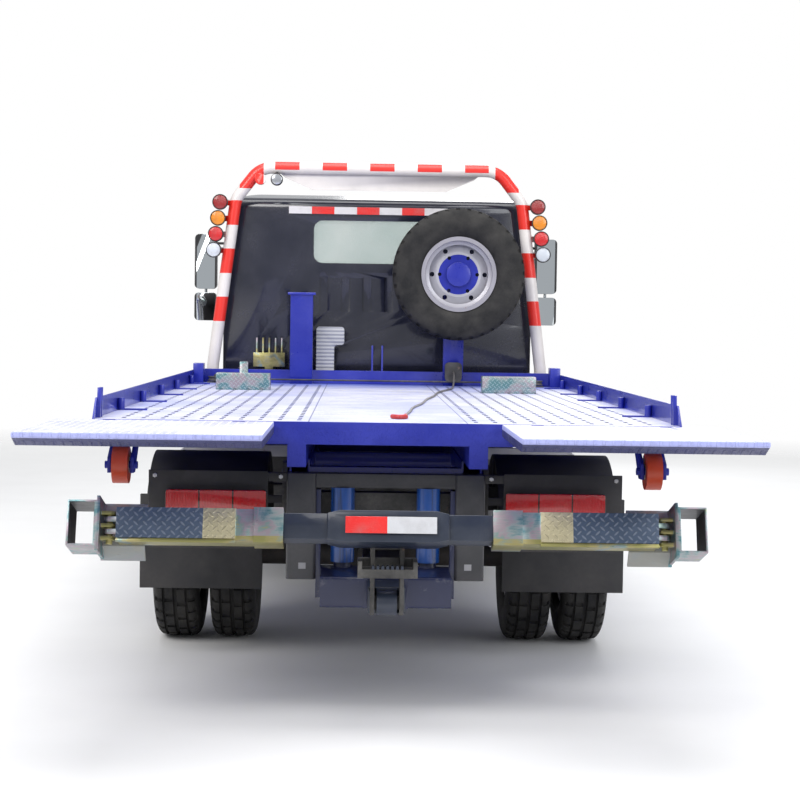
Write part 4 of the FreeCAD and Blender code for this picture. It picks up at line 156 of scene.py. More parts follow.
def noise(tree, vector, scale, detail=4.0, rough=0.55):
    return put(tree, "TexNoise", {"Vector": vector, "Scale": scale, "Detail": detail, "Roughness": rough}).outputs[0]


def stretch(tree, value, low, high, to_low=0.0, to_high=1.0):
    """Map a range of a mask to another, held at its ends."""
    return put(tree, "MapRange", {0: value, 1: low, 2: high, 3: to_low, 4: to_high}).outputs[0]


def new_group(name, inputs, outputs):
    group = bpy.data.node_groups.new(name, "ShaderNodeTree")
    for label, kind, value in inputs:
        socket = group.interface.new_socket(label, in_out="INPUT", socket_type="NodeSocket" + kind)
        if value is not None:
            socket.default_value = value
    for label, kind in outputs:
        group.interface.new_socket(label, in_out="OUTPUT", socket_type="NodeSocket" + kind)
    start = group.nodes.new("NodeGroupInput")
    stop = group.nodes.new("NodeGroupOutput")
    return group, start.outputs, stop.inputs


def use(tree, group, inputs):
    node = tree.nodes.new("ShaderNodeGroup")
    node.node_tree = group
    for key, value in inputs.items():
        socket = node.inputs[key]
        if isinstance(value, bpy.types.NodeSocket):
            tree.links.new(value, socket)
        else:
            socket.default_value = (*value, 1.0) if isinstance(value, tuple) and len(value) == 3 else value
    return node.outputs


# Shared effects
def make_worn_paint():
    """Paint with soft mottling, fine scratches, chips to bare metal and a film of dust."""
    group, given, out = new_group(
        "Worn paint",
        [("Vector", "Vector", None), ("Paint", "Color", (0.5, 0.5, 0.5, 1)), ("Bare", "Color", (0.35, 0.34, 0.33, 1)),
         ("Dust", "Color", (0.45, 0.42, 0.38, 1)), ("Chips", "Float", 0.3), ("Dust amount", "Float", 0.2),
         ("Gloss", "Float", 0.3)],
        [("Color", "Color"), ("Roughness", "Float"), ("Height", "Float"), ("Chip mask", "Float")])
    tree = group
    vector = given["Vector"]
    mottle = noise(tree, vector, 5.0, 5.0)
    fine = noise(tree, vector, 60.0, 6.0, 0.7)
    spots = noise(tree, vector, 22.0, 8.0, 0.75)
    long_way = put(tree, "Mapping", {"Vector": vector, "Scale": (90.0, 6.0, 30.0)}).outputs[0]
    scratch = noise(tree, long_way, 3.0, 3.0, 0.6)
    shade = stretch(tree, mottle, 0.3, 0.7, 0.86, 1.12)
    toned = put(tree, "Mix", data_type="RGBA", blend_type="MULTIPLY")
    toned.inputs[0].default_value = 1.0
    tree.links.new(given["Paint"], toned.inputs[6])
    tree.links.new(put(tree, "CombineColor", {0: shade, 1: shade, 2: shade}).outputs[0], toned.inputs[7])
    chip_level = fused(tree, given["Chips"], -0.22, 0.74)
    chip = over(tree, spots, chip_level)
    line = both(tree, over(tree, scratch, plus(tree, chip_level, 0.03)), given["Chips"])
    bare = either(tree, chip, line)
    dust = both(tree, stretch(tree, mottle, 0.35, 0.75), stretch(tree, fine, 0.3, 0.7, 0.4, 1.0),
                given["Dust amount"])
    worn = blend_colour(tree, bare, toned.outputs[2], given["Bare"])
    dusty = blend_colour(tree, dust, worn, given["Dust"])
    tree.links.new(dusty, out["Color"])
    rough = plus(tree, given["Gloss"], times(tree, fine, 0.12))
    rough = fused(tree, dust, 0.5, rough)
    tree.links.new(fused(tree, bare, 0.1, rough), out["Roughness"])
    height = fused(tree, bare, -0.6, times(tree, fine, 0.25))
    tree.links.new(height, out["Height"])
    tree.links.new(bare, out["Chip mask"])
    return group


def make_zinc_bloom():
    """Passivated zinc: cyan, rose, gold and olive clouds over bright metal."""
    group, given, out = new_group(
        "Zinc bloom",
        [("Vector", "Vector", None), ("Scale", "Float", 4.0), ("Warmth", "Float", 0.5)],
        [("Color", "Color"), ("Roughness", "Float"), ("Height", "Float")])
    tree = group
    warp = put(tree, "TexNoise", {"Vector": given["Vector"], "Scale": given["Scale"], "Detail": 5.0,
                                  "Distortion": 1.2})
    streak = put(tree, "Mapping", {"Vector": given["Vector"], "Scale": (3.0, 30.0, 30.0)}).outputs[0]
    grain = noise(tree, streak, 6.0, 4.0, 0.6)
    spot = fused(tree, grain, 0.25, warp.outputs[0])
    spot = plus(tree, spot, fused(tree, given["Warmth"], 0.3, -0.27))
    ramp = put(tree, "ValToRGB", {0: spot})
    stops = ramp.color_ramp
    stops.elements[0].position, stops.elements[0].color = 0.30, (0.13, 0.27, 0.29, 1)
    stops.elements[1].position, stops.elements[1].color = 0.78, (0.34, 0.32, 0.12, 1)
    for place, colour in ((0.40, (0.34, 0.40, 0.40, 1)), (0.48, (0.42, 0.33, 0.37, 1)),
                          (0.56, (0.25, 0.36, 0.34, 1)), (0.66, (0.44, 0.38, 0.17, 1))):
        stop = stops.elements.new(place)
        stop.color = colour
    tree.links.new(ramp.outputs[0], out["Color"])
    tree.links.new(stretch(tree, grain, 0.2, 0.8, 0.24, 0.42), out["Roughness"])
    tree.links.new(grain, out["Height"])
    return group


def make_chequer_plate():
    """Raised short bars of tread plate, turned by turns in each square."""
    group, given, out = new_group(
        "Chequer plate",
        [("Along", "Float", 0.0), ("Across", "Float", 0.0), ("Pitch", "Float", 0.03)],
        [("Mask", "Float")])
    tree = group
    marks = []
    for turn, shift in ((1, 0.0), (-1, 0.5)):
        u = plus(tree, sum_of(tree, "DIVIDE", given["Along"], given["Pitch"]), shift)
        v = plus(tree, sum_of(tree, "DIVIDE", given["Across"], given["Pitch"]), shift)
        u = sum_of(tree, "SUBTRACT", sum_of(tree, "FRACT", u), 0.5)
        v = sum_of(tree, "SUBTRACT", sum_of(tree, "FRACT", v), 0.5)
        along = fused(tree, v, float(turn), u)
        across = fused(tree, v, -float(turn), u)
        far = times(tree, sum_of(tree, "ABSOLUTE", along), 1.6)
        wide = times(tree, sum_of(tree, "ABSOLUTE", across), 5.0)
        reach = sum_of(tree, "SQRT", fused(tree, far, far, times(tree, wide, wide)))
        marks.append(stretch(tree, reach, 0.62, 0.9, 1.0, 0.0))
    tree.links.new(either(tree, *marks), out["Mask"])
    return group


WORN_PAINT = make_worn_paint()
ZINC_BLOOM = make_zinc_bloom()
CHEQUER_PLATE = make_chequer_plate()


class Finish:
    """One material: its tree, its Principled shader, and the object coordinates split by axis."""

    def __init__(self, name, metallic=0.0, coat=0.0, specular=0.5):
        self.material = bpy.data.materials.new(name)
        self.material.use_nodes = True
        self.tree = self.material.node_tree
        self.shader = self.tree.nodes["Principled BSDF"]
        self.shader.inputs["Metallic"].default_value = metallic
        self.shader.inputs["Coat Weight"].default_value = coat
        self.shader.inputs["Coat Roughness"].default_value = 0.06
        self.shader.inputs["Specular IOR Level"].default_value = specular
        self.coordinates = put(self.tree, "TexCoord").outputs["Object"]
        split = put(self.tree, "SeparateXYZ", {0: self.coordinates})
        self.x, self.y, self.z = split.outputs
        normal = put(self.tree, "TexCoord").outputs["Normal"]
        self.normal = put(self.tree, "SeparateXYZ", {0: normal}).outputs

    def worn(self, paint, bare, dust, chips, amount, gloss):
        """The worn paint group on this finish's coordinates."""
        return use(self.tree, WORN_PAINT, {"Vector": self.coordinates, "Paint": paint, "Bare": bare, "Dust": dust,
                                           "Chips": chips, "Dust amount": amount, "Gloss": gloss})

    def bloom(self, scale, warmth):
        """The zinc group on this finish's coordinates."""
        return use(self.tree, ZINC_BLOOM, {"Vector": self.coordinates, "Scale": scale, "Warmth": warmth})

    def end(self, colour=None, roughness=None, height=None, depth=0.0005, metallic=None, alpha=None):
        for key, value in (("Base Color", colour), ("Roughness", roughness), ("Metallic", metallic),
                           ("Alpha", alpha)):
            if isinstance(value, bpy.types.NodeSocket):
                self.tree.links.new(value, self.shader.inputs[key])
            elif value is not None:
                self.shader.inputs[key].default_value = value
        if height is not None:
            bump = put(self.tree, "Bump", {"Height": height, "Distance": depth, "Strength": 0.8})
            self.tree.links.new(bump.outputs[0], self.shader.inputs["Normal"])
        return self.material


def painted(name, paint, gloss=0.3, chips=0.2, dust=0.15, coat=0.0, bare=(0.30, 0.29, 0.28),
            dust_colour=(0.42, 0.40, 0.37)):
    finish = Finish(name, coat=coat)
    worn = finish.worn(paint, bare, dust_colour, chips, dust, gloss)
    return finish.end(worn["Color"], worn["Roughness"], worn["Height"], 0.0004)


COBALT = (0.008, 0.018, 0.33)
SLOT_ROW_PITCH, SLOT_PITCH = 0.0735, 0.125
SLOT_FIELD_INNER, SLOT_FIELD_OUTER = 0.30, 1.055
SLOT_FIELD_REAR, SLOT_FIELD_FRONT = -2.46, 1.35
CENTRE_SEAM_PITCH = 0.31


def deck_finish():
    """Worn pale deck with rows of slots painted dark as shade, and low ridges; its beams and edges are cobalt paint.
    """
    finish = Finish("Deck", coat=0.0)
    tree = finish.tree
    flat = both(tree, over(tree, finish.normal[2], 0.9),
                over(tree, finish.z, DECK_TOP - 0.002))
    side = sum_of(tree, "ABSOLUTE", finish.x)
    row = sum_of(tree, "FRACT", sum_of(tree, "DIVIDE", plus(tree, side, -0.298), SLOT_ROW_PITCH))
    in_row = sum_of(tree, "COMPARE", row, 0.5, 0.11)
    step = sum_of(tree, "DIVIDE", finish.y, SLOT_PITCH)
    in_step = sum_of(tree, "COMPARE", sum_of(tree, "FRACT", step), 0.5, 0.27)
    field = both(tree, between(tree, side, SLOT_FIELD_INNER, SLOT_FIELD_OUTER),
                 between(tree, finish.y, SLOT_FIELD_REAR, SLOT_FIELD_FRONT))
    slots = both(tree, in_row, in_step, field, flat)
    rim = both(tree, sum_of(tree, "COMPARE", row, 0.5, 0.18), in_step, field, flat)
    plate = sum_of(tree, "FRACT", sum_of(tree, "DIVIDE", finish.y, CENTRE_SEAM_PITCH))
    cross = sum_of(tree, "COMPARE", plate, 0.5, 0.012)
    seam = both(tree, cross, between(tree, side, 0.0, 0.30), flat)
    joint = both(tree, sum_of(tree, "COMPARE", side, 0.297, 0.003), flat)
    worn = finish.worn((0.53, 0.55, 0.80), (0.62, 0.62, 0.66), (0.70, 0.70, 0.74), 0.9, 0.7, 0.34)
    front = stretch(tree, finish.y, 0.7, 1.5)
    patch = stretch(tree, noise(tree, finish.coordinates, 1.4, 3.0), 0.42, 0.62)
    bluer = sum_of(tree, "MAXIMUM", front, times(tree, patch, 0.35))
    top = blend_colour(tree, bluer, worn["Color"], (0.14, 0.19, 0.60))
    # The slots are painted near black as the shade seen through them; seams and joints get 0.6 of it as dark lines.
    top = blend_colour(tree, sum_of(tree, "MAXIMUM", slots, times(tree, either(tree, seam, joint), 0.6)),
                       top, (0.006, 0.010, 0.085))
    body = finish.worn(COBALT, (0.20, 0.22, 0.35), (0.12, 0.13, 0.30), 0.25, 0.2, 0.24)
    colour = blend_colour(tree, flat, body["Color"], top)
    rough = fused(tree, slots, 0.3, worn["Roughness"])
    height = sum_of(tree, "SUBTRACT", plus(tree, worn["Height"], times(tree, rim, 0.8)),
                    times(tree, either(tree, slots, seam), 3.0))
    return finish.end(colour, rough, height, 0.0012)


def ramp_finish():
    """Pale ramp plate with lengthwise ridges, a scalloped blue rear edge and an underside painted dark as shade."""
    finish = Finish("Ramp", coat=0.0)
    tree = finish.tree
    flat = both(tree, over(tree, finish.normal[2], 0.6),
                over(tree, finish.z, 1.03))
    wave = sine(tree, finish.x, 2 * math.pi / 0.031)
    ridge = stretch(tree, wave, 0.35, 0.85)
    bars = sine(tree, finish.y, 2 * math.pi / 0.075)
    broken = both(tree, ridge, stretch(tree, bars, -0.55, -0.2))
    worn = finish.worn((0.50, 0.52, 0.82), (0.66, 0.66, 0.72), (0.74, 0.74, 0.80), 0.8, 0.6, 0.3)
    top = blend_colour(tree, broken, worn["Color"], (0.86, 0.86, 0.90))
    edge = under(tree, fused(tree, wave, -0.008, finish.y), -3.385)
    top = blend_colour(tree, edge, top, (0.33, 0.38, 0.80))
    # The underside and the lower sides are painted dark navy as shade.
    belly_shade = finish.worn((0.030, 0.034, 0.13), (0.2, 0.2, 0.26), (0.10, 0.10, 0.19), 0.3, 0.3, 0.4)
    rim_band = over(tree, finish.z, 1.052)
    lower = blend_colour(tree, rim_band, belly_shade["Color"], (0.40, 0.43, 0.78))
    colour = blend_colour(tree, flat, lower, top)
    height = fused(tree, broken, 1.6, worn["Height"])
    return finish.end(colour, worn["Roughness"], height, 0.0022)


def leaned_axes(finish):
    """Depth and height in the crossbar's leaned frame."""
    tree = finish.tree
    back = plus(tree, finish.y, -BAR_Y)
    rise = plus(tree, finish.z, -BAR_Z)
    along, across = math.cos(BAR_LEAN), math.sin(BAR_LEAN)
    depth = fused(tree, back, along, times(tree, rise, -across))
    height = fused(tree, back, across, times(tree, rise, along))
    return depth, height


def arm_finish():
    """Zinc-plated sleeve with a slate tread plate on its rear face and a gold, scraped underside."""
    finish = Finish("Sliding arm", metallic=0.75)
    tree = finish.tree
    depth, height = leaned_axes(finish)
    side = sum_of(tree, "ABSOLUTE", finish.x)
    bloom = finish.bloom(7.0, 0.45)
    gold = finish.bloom(5.0, 1.15)
    low = under(tree, height, -0.040)
    metal = blend_colour(tree, low, bloom["Color"], gold["Color"])
    on_plate = both(tree, under(tree, depth, -0.0555), between(tree, side, 0.54, 0.961),
                    over(tree, height, -0.052))
    slate = both(tree, on_plate, over(tree, side, 0.655))
    bars = use(tree, CHEQUER_PLATE, {"Along": finish.x, "Across": height, "Pitch": 0.033})["Mask"]
    plate = finish.worn((0.055, 0.085, 0.14), (0.30, 0.32, 0.36), (0.15, 0.17, 0.21), 0.25, 0.3, 0.3)
    # The raised bars are lighter bluish grey: worn tops and a painted highlight.
    scuffed_and_sheen = blend_colour(tree, times(tree, bars, 0.35), plate["Color"], (0.35, 0.39, 0.46))
    colour = blend_colour(tree, slate, metal, scuffed_and_sheen)
    patch = both(tree, on_plate, under(tree, side, 0.655))
    colour = blend_colour(tree, patch, colour, (0.58, 0.52, 0.34))
    rough = fused(tree, slate, 0.12, bloom["Roughness"])
    bump = fused(tree, both(tree, bars, on_plate), 2.0, times(tree, bloom["Height"], 0.2))
    metallic = fused(tree, slate, -0.45, 0.75)
    return finish.end(colour, rough, bump, 0.0014, metallic)


def stop_finish():
    """Zinc-plated wheel stops of tread plate."""
    finish = Finish("Wheel stop zinc", metallic=0.8)
    tree = finish.tree
    bloom = finish.bloom(10.0, 0.1)
    height = times(tree, bloom["Height"], 0.3)
    bars = use(tree, CHEQUER_PLATE, {"Along": finish.x, "Across": finish.z, "Pitch": 0.024})["Mask"]
    height = fused(tree, bars, 1.5, height)
    colour = blend_colour(tree, times(tree, bars, 0.4), bloom["Color"], (0.62, 0.74, 0.76))
    return finish.end(colour, bloom["Roughness"], height, 0.001)


def bracket_finish():
    """Iridescent end bracket: blue and rose plate and tube, painted shade inside the tube, yellow-green hinge leaves.
    """
    finish = Finish("End bracket", metallic=0.8)
    tree = finish.tree
    side = sum_of(tree, "ABSOLUTE", finish.x)
    outer = finish.bloom(9.0, 0.2)
    hinge = finish.bloom(6.0, 1.0)
    near = under(tree, side, 1.0185)
    depth, height = leaned_axes(finish)
    cradle = both(tree, near, over(tree, depth, 0.05))
    colour = blend_colour(tree, near, outer["Color"], hinge["Color"])
    colour = blend_colour(tree, times(tree, cradle, 0.85), colour, (0.30, 0.31, 0.32))
    # Painted shade: the inside of the tube is near black and less metallic.
    inside = both(tree, between(tree, side, 1.0395, 1.1265), between(tree, height, -0.0750, 0.0750))
    colour = blend_colour(tree, inside, colour, (0.008, 0.009, 0.012))
    metallic = fused(tree, either(tree, inside, cradle), -0.6, 0.8)
    return finish.end(colour, outer["Roughness"], times(tree, outer["Height"], 0.3), 0.001, metallic)


def gantry_finish():
    """Off-white tube with red and white tape bands on its rear side."""
    finish = Finish("Gantry", coat=0.3)
    tree = finish.tree
    side = sum_of(tree, "ABSOLUTE", finish.x)
    high = over(tree, finish.z, 2.355)
    top_place = sum_of(tree, "FRACT", sum_of(tree, "DIVIDE", plus(tree, finish.x, 0.345 + 2.87), 0.287))
    top_red = both(tree, under(tree, top_place, 0.515), high, under(tree, side, 0.66))
    corner = both(tree, between(tree, side, 0.70, 0.845), over(tree, finish.z, 2.24))
    drop = sum_of(tree, "FRACT", sum_of(tree, "DIVIDE", plus(tree, finish.z, -0.13), 0.291))
    leg_red = both(tree, over(tree, drop, 0.49), between(tree, finish.z, 1.40, 2.19),
                   over(tree, side, 0.82))
    rear = under(tree, finish.y, 1.725)
    band = both(tree, either(tree, top_red, corner, leg_red), rear)
    worn = finish.worn((0.74, 0.70, 0.68), (0.45, 0.42, 0.40), (0.55, 0.50, 0.47), 0.15, 0.35, 0.26)
    comb = sine(tree, plus(tree, finish.x, finish.z), 900.0)
    red = blend_colour(tree, stretch(tree, comb, -1, 1, 0.0, 0.3), (0.72, 0.012, 0.008), (0.85, 0.10, 0.06))
    colour = blend_colour(tree, band, worn["Color"], red)
    return finish.end(colour, worn["Roughness"], worn["Height"], 0.0003)


def lamp_finish():
    """Red tail lamps with an amber and a clear part, and the gantry's amber, red and clear round lamps."""
    finish = Finish("Lamp lens", coat=0.8)
    tree = finish.tree
    high = over(tree, finish.z, 1.5)
    side = sum_of(tree, "ABSOLUTE", finish.x)
    amber = between(tree, finish.z, 2.005, 2.105)
    red = between(tree, finish.z, 1.909, 2.005)
    pod = blend_colour(tree, amber, (0.62, 0.66, 0.72), (0.80, 0.26, 0.01))
    pod = blend_colour(tree, red, pod, (0.62, 0.010, 0.014))
    pod = blend_colour(tree, over(tree, finish.z, 2.105), pod, (0.30, 0.015, 0.015))
    split = sum_of(tree, "COMPARE", sum_of(tree, "FRACT", sum_of(tree, "DIVIDE", plus(tree, side, -0.46), 0.13)),
                   0.5, 0.475)
    tail = blend_colour(tree, split, (0.05, 0.004, 0.004), (0.42, 0.006, 0.010))
    colour = blend_colour(tree, high, tail, pod)
    ribs = sine(tree, finish.x, 2 * math.pi / 0.006)
    grime = noise(tree, finish.coordinates, 18.0, 4.0)
    colour = blend_colour(tree, stretch(tree, grime, 0.5, 0.8, 0.0, 0.35), colour, (0.12, 0.04, 0.035))
    return finish.end(colour, stretch(tree, grime, 0.3, 0.7, 0.1, 0.25), ribs, 0.0006)


def tyre_finish():
    finish = Finish("Tyre rubber", specular=0.3)
    tree = finish.tree
    cloud = noise(tree, finish.coordinates, 9.0, 5.0)
    grain = noise(tree, finish.coordinates, 160.0, 3.0)
    base = blend_colour(tree, stretch(tree, cloud, 0.35, 0.7), (0.012, 0.012, 0.013), (0.040, 0.038, 0.036))
    return finish.end(base, stretch(tree, grain, 0.2, 0.8, 0.62, 0.85), grain, 0.0006)


def window_finish():
    """Clear pane with a faint green edge and soft smears."""
    finish = Finish("Window", coat=0.0)
    tree = finish.tree
    smear = noise(tree, finish.coordinates, 3.0, 4.0)
    colour = blend_colour(tree, stretch(tree, smear, 0.3, 0.7), (0.72, 0.80, 0.78), (0.86, 0.90, 0.88))
    finish.shader.inputs["Transmission Weight"].default_value = 0.85
    finish.shader.inputs["IOR"].default_value = 1.45
    return finish.end(colour, stretch(tree, smear, 0.3, 0.8, 0.02, 0.08))


def cloth_finish():
    finish = Finish("Seat cloth")
    tree = finish.tree
    warp = sine(tree, finish.x, 1800.0)
    weft = sine(tree, finish.z, 1800.0)
    weave = times(tree, warp, weft)
    fade = noise(tree, finish.coordinates, 6.0)
    base = blend_colour(tree, stretch(tree, fade, 0.3, 0.7), (0.05, 0.052, 0.06), (0.10, 0.10, 0.11))
    base = blend_colour(tree, stretch(tree, weave, -1, 1, 0.0, 0.3), base, (0.16, 0.16, 0.18))
    finish.shader.inputs["Sheen Weight"].default_value = 0.3
    return finish.end(base, 0.9, weave, 0.0006)


def mirror_finish():
    """Black ribbed shell with mirror glass on the face that looks back."""
    finish = Finish("Mirror", coat=0.1)
    tree = finish.tree
    pane = both(tree, under(tree, finish.normal[1], -0.8),
                between(tree, sum_of(tree, "ABSOLUTE", finish.x), 1.094, 1.216))
    grain = noise(tree, finish.coordinates, 220.0, 2.0)
    colour = blend_colour(tree, pane, (0.018, 0.018, 0.02), (0.62, 0.66, 0.68))
    rough = fused(tree, pane, -0.42, stretch(tree, grain, 0.2, 0.8, 0.42, 0.52))
    return finish.end(colour, rough, times(tree, grain, sum_of(tree, "SUBTRACT", 1.0, pane)), 0.0003, pane)


def rim_finish():
    """Silver wheel paint with brake dust in the hollows and a few rust spots."""
    finish = Finish("Wheel paint", metallic=0.35, coat=0.2)
    worn = finish.worn((0.60, 0.60, 0.66), (0.26, 0.15, 0.10), (0.30, 0.27, 0.25), 0.35, 0.45, 0.3)
    return finish.end(worn["Color"], worn["Roughness"], worn["Height"], 0.0004)


# Modelling helpers
def edit_mode():
    bpy.ops.object.mode_set(mode="EDIT")


def object_mode():
    bpy.ops.object.mode_set(mode="OBJECT")


def choose_none():
    if bpy.context.object and bpy.context.object.mode != "OBJECT":
        object_mode()
    bpy.ops.object.select_all(action="DESELECT")


def choose(piece):
    choose_none()
    piece.select_set(True)
    bpy.context.view_layer.objects.active = piece


def settle(piece, name, material, body, angle=35):
    """Apply the piece's place, smooth it, name it, paint it and let it ride on its body."""
    choose(piece)
    bpy.ops.object.transform_apply(location=True, rotation=True, scale=True)
    bpy.ops.object.shade_smooth_by_angle(angle=math.radians(angle))
    piece.name = name
    piece.data.name = name
    piece.data.materials.clear()
    piece.data.materials.append(material)
    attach(piece, body)
    return piece


def with_modifier(piece, kind, **settings):
    choose(piece)
    modifier = piece.modifiers.new(kind.title(), kind)
    for key, value in settings.items():
        setattr(modifier, key, value)
    bpy.ops.object.modifier_apply(modifier=modifier.name)


def bevelled(piece, width, segments=2, angle=30):
    with_modifier(piece, "BEVEL", width=width, segments=segments, limit_method="ANGLE",
                  angle_limit=math.radians(angle), harden_normals=False)


def block_piece(low, high):
    """A box primitive at its size and place, given by its lowest and highest corners."""
    choose_none()
    low, high = Vector(low), Vector(high)
    bpy.ops.mesh.primitive_cube_add(size=1, location=(low + high) / 2)
    piece = bpy.context.object
    piece.scale = high - low
    bpy.ops.object.transform_apply(location=False, rotation=False, scale=True)
    return piece


def disc_piece(centre, radius, length):
    """A cylinder primitive that lies along Y."""
    choose_none()
    bpy.ops.mesh.primitive_cylinder_add(vertices=32, radius=radius, depth=length, location=centre,
                                        rotation=(math.pi / 2, 0, 0))
    piece = bpy.context.object
    bpy.ops.object.transform_apply(location=False, rotation=True, scale=False)
    return piece


def drawn_line(points):
    """A line drawn by extruding one vertex from point to point, for a section that is then spun."""
    choose_none()
    bpy.ops.mesh.primitive_plane_add(size=0.01, location=(0, 0, 0))
    line = bpy.context.object
    edit_mode()
    bpy.ops.mesh.select_mode(type="VERT")
    bpy.ops.mesh.select_all(action="SELECT")
    bpy.ops.mesh.merge(type="CENTER")
    bpy.ops.transform.translate(value=points[0])
    for start, stop in zip(points, points[1:]):
        bpy.ops.mesh.extrude_region_move(TRANSFORM_OT_translate={"value": stop - start})
    object_mode()
    return line


def spun(section, steps, axis, merge):
    """A section spun a full turn about an axis through the origin, closed and with its normals outward."""
    piece = drawn_line(section)
    edit_mode()
    bpy.ops.mesh.select_all(action="SELECT")
    bpy.ops.mesh.spin(steps=steps, angle=2 * math.pi, center=(0, 0, 0), axis=axis)
    bpy.ops.mesh.select_all(action="SELECT")
    bpy.ops.mesh.remove_doubles(threshold=merge)
    bpy.ops.mesh.normals_make_consistent(inside=False)
    object_mode()
    return piece


def spun_ring(section):
    """A ring about Y at the origin from (radius, depth) points."""
    return spun([Vector((x, y, 0)) for x, y in section], 32, (0, 1, 0), 0.0002)


def joined(pieces):
    choose_none()
    for piece in pieces:
        piece.select_set(True)
    bpy.context.view_layer.objects.active = pieces[0]
    if len(pieces) > 1:
        bpy.ops.object.join()
    return bpy.context.object


def pick_faces(piece, wanted):
    """Enter edit mode with only the faces that pass a test selected."""
    choose(piece)
    edit_mode()
    bpy.ops.mesh.select_mode(type="FACE")
    bpy.ops.mesh.select_all(action="DESELECT")
    object_mode()
    for face in piece.data.polygons:
        face.select = bool(wanted(face))
    edit_mode()


def dressed(node, material, width=0.003, angle=30):
    """A finished copy of a CAD node: merged, its flats cleaned, its edges softened."""
    source = frame["nodes"][node]
    choose_none()
    copy = source.copy()
    copy.data = source.data.copy()
    copy.parent = None
    copy.matrix_world = Matrix.Identity(4)
    bpy.context.scene.collection.objects.link(copy)
    for key in list(copy.keys()):
        if key.startswith("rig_"):
            del copy[key]
    choose(copy)
    edit_mode()
    bpy.ops.mesh.select_all(action="SELECT")
    bpy.ops.mesh.remove_doubles(threshold=0.00002)
    bpy.ops.mesh.dissolve_limited(angle_limit=math.radians(0.5))
    object_mode()
    if width:
        bevelled(copy, width, 2, angle)
    settle(copy, node + "_finished", material, node_body[node])
    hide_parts(node)
    return copy


def paint_node(node, material):
    """Give the CAD node itself its finish."""
    piece = frame["nodes"][node]
    piece.data.materials.clear()
    piece.data.materials.append(material)
    choose(piece)
    bpy.ops.object.shade_smooth_by_angle(angle=math.radians(35))
    choose_none()


# The rope on the deck, from the block at the carrier post to the hook
ROPE_ROUTE = [
    (0.455, 1.470, 1.152), (0.452, 1.360, 1.140), (0.446, 1.245, 1.112), (0.437, 1.125, 1.083),
    (0.425, 1.000, 1.0756), (0.408, 0.860, 1.0756), (0.385, 0.722, 1.0756), (0.357, 0.585, 1.0756),
    (0.332, 0.445, 1.0756), (0.312, 0.303, 1.0756), (0.297, 0.160, 1.0756), (0.287, 0.015, 1.0756),
    (0.274, -0.131, 1.0756), (0.257, -0.277, 1.0756), (0.236, -0.422, 1.0756), (0.218, -0.566, 1.0756),
    (0.204, -0.711, 1.0756), (0.195, -0.857, 1.0756), (0.182, -1.003, 1.0756), (0.164, -1.149, 1.0756),
    (0.142, -1.294, 1.0756), (0.125, -1.438, 1.0756), (0.114, -1.580, 1.0756), (0.108, -1.722, 1.0756),
    (0.097, -1.862, 1.0756), (0.082, -1.996, 1.0756), (0.074, -2.110, 1.0756), (0.073, -2.205, 1.0756),
]
ROPE_RADIUS = 0.005


def rope_finish():
    """Laid steel strands, painted dark in the grooves between them as shade: the pattern follows the rope's own UV
    map.
    """
    finish = Finish("Wire rope", metallic=0.7)
    tree = finish.tree
    uv = put(tree, "SeparateXYZ", {0: put(tree, "TexCoord").outputs["UV"]}).outputs
    twist = fused(tree, uv[0], 420.0, times(tree, uv[1], 2 * math.pi * 6))
    strand = sine(tree, twist)
    grime = noise(tree, finish.coordinates, 9.0)
    # The strand colour darkens into the grooves between strands as painted shade.
    base = blend_colour(tree, stretch(tree, strand, -0.6, 0.6), (0.10, 0.09, 0.09), (0.52, 0.50, 0.47))
    base = blend_colour(tree, stretch(tree, grime, 0.5, 0.8, 0.0, 0.6), base, (0.16, 0.11, 0.07))
    return finish.end(base, 0.42, strand, 0.0012)


def lay_rope():
    line = bpy.data.curves.new("winch_rope_line", "CURVE")
    line.dimensions = "3D"
    spline = line.splines.new("NURBS")
    spline.points.add(len(ROPE_ROUTE) - 1)
    for point, place in zip(spline.points, ROPE_ROUTE):
        point.co = (*place, 1.0)
    spline.order_u = 3
    spline.use_endpoint_u = True
    spline.resolution_u = 8
    line.bevel_depth = ROPE_RADIUS
    line.bevel_resolution = 3
    line.use_fill_caps = True
    rope = bpy.data.objects.new("winch_rope_line", line)
    bpy.context.scene.collection.objects.link(rope)
    line.materials.append(rope_finish())
    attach(rope, "bed")
    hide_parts("winch_rope")
    return rope


# Wheels and tyres
TYRE_SECTION = [
    (-0.0660, 0.2056), (-0.0668, 0.2215), (-0.0700, 0.2250), (-0.0850, 0.2380), (-0.0960, 0.2650),
    (-0.1025, 0.3010), (-0.1010, 0.3300), (-0.0965, 0.3560), (-0.0890, 0.3720), (-0.0800, 0.3815),
    (-0.0740, 0.3860), (-0.0560, 0.3885), (-0.0540, 0.3770), (-0.0460, 0.3770), (-0.0440, 0.3892),
    (-0.0090, 0.3900), (-0.0070, 0.3780), (0.0000, 0.3780),
]
TYRE_STEPS = 108


def shape_tyre():
    """A tyre about X at the origin: a spun section with grooves, then lugs cut into its ribs and shoulders."""
    section = TYRE_SECTION + [(-x, r) for x, r in reversed(TYRE_SECTION[:-1])]
    tyre = spun([Vector((x, 0, r)) for x, r in section], TYRE_STEPS, (1, 0, 0), 0.0003)

    def step_of(face):
        turn = math.atan2(face.center.y, face.center.z) / (2 * math.pi) * TYRE_STEPS
        return math.floor(turn + TYRE_STEPS)

    def slot_between_lugs(face):
        reach = math.hypot(face.center.y, face.center.z)
        across = abs(face.center.x)
        shoulder = 0.0740 < across < 0.0930 and 0.368 < reach < 0.3845
        outer_rib = 0.0560 < across < 0.0740 and reach > 0.385
        inner_rib = 0.0090 < across < 0.0440 and reach > 0.388
        side = 1 if face.center.x > 0 else 0
        step = step_of(face)
        if shoulder or outer_rib:
            return step % 3 == 0
        return inner_rib and (step + side) % 4 == 0

    pick_faces(tyre, slot_between_lugs)
    bpy.ops.mesh.extrude_region_shrink_fatten(TRANSFORM_OT_shrink_fatten={"value": -0.009})
    object_mode()
    bevelled(tyre, 0.0012, 1, 40)
    return tyre


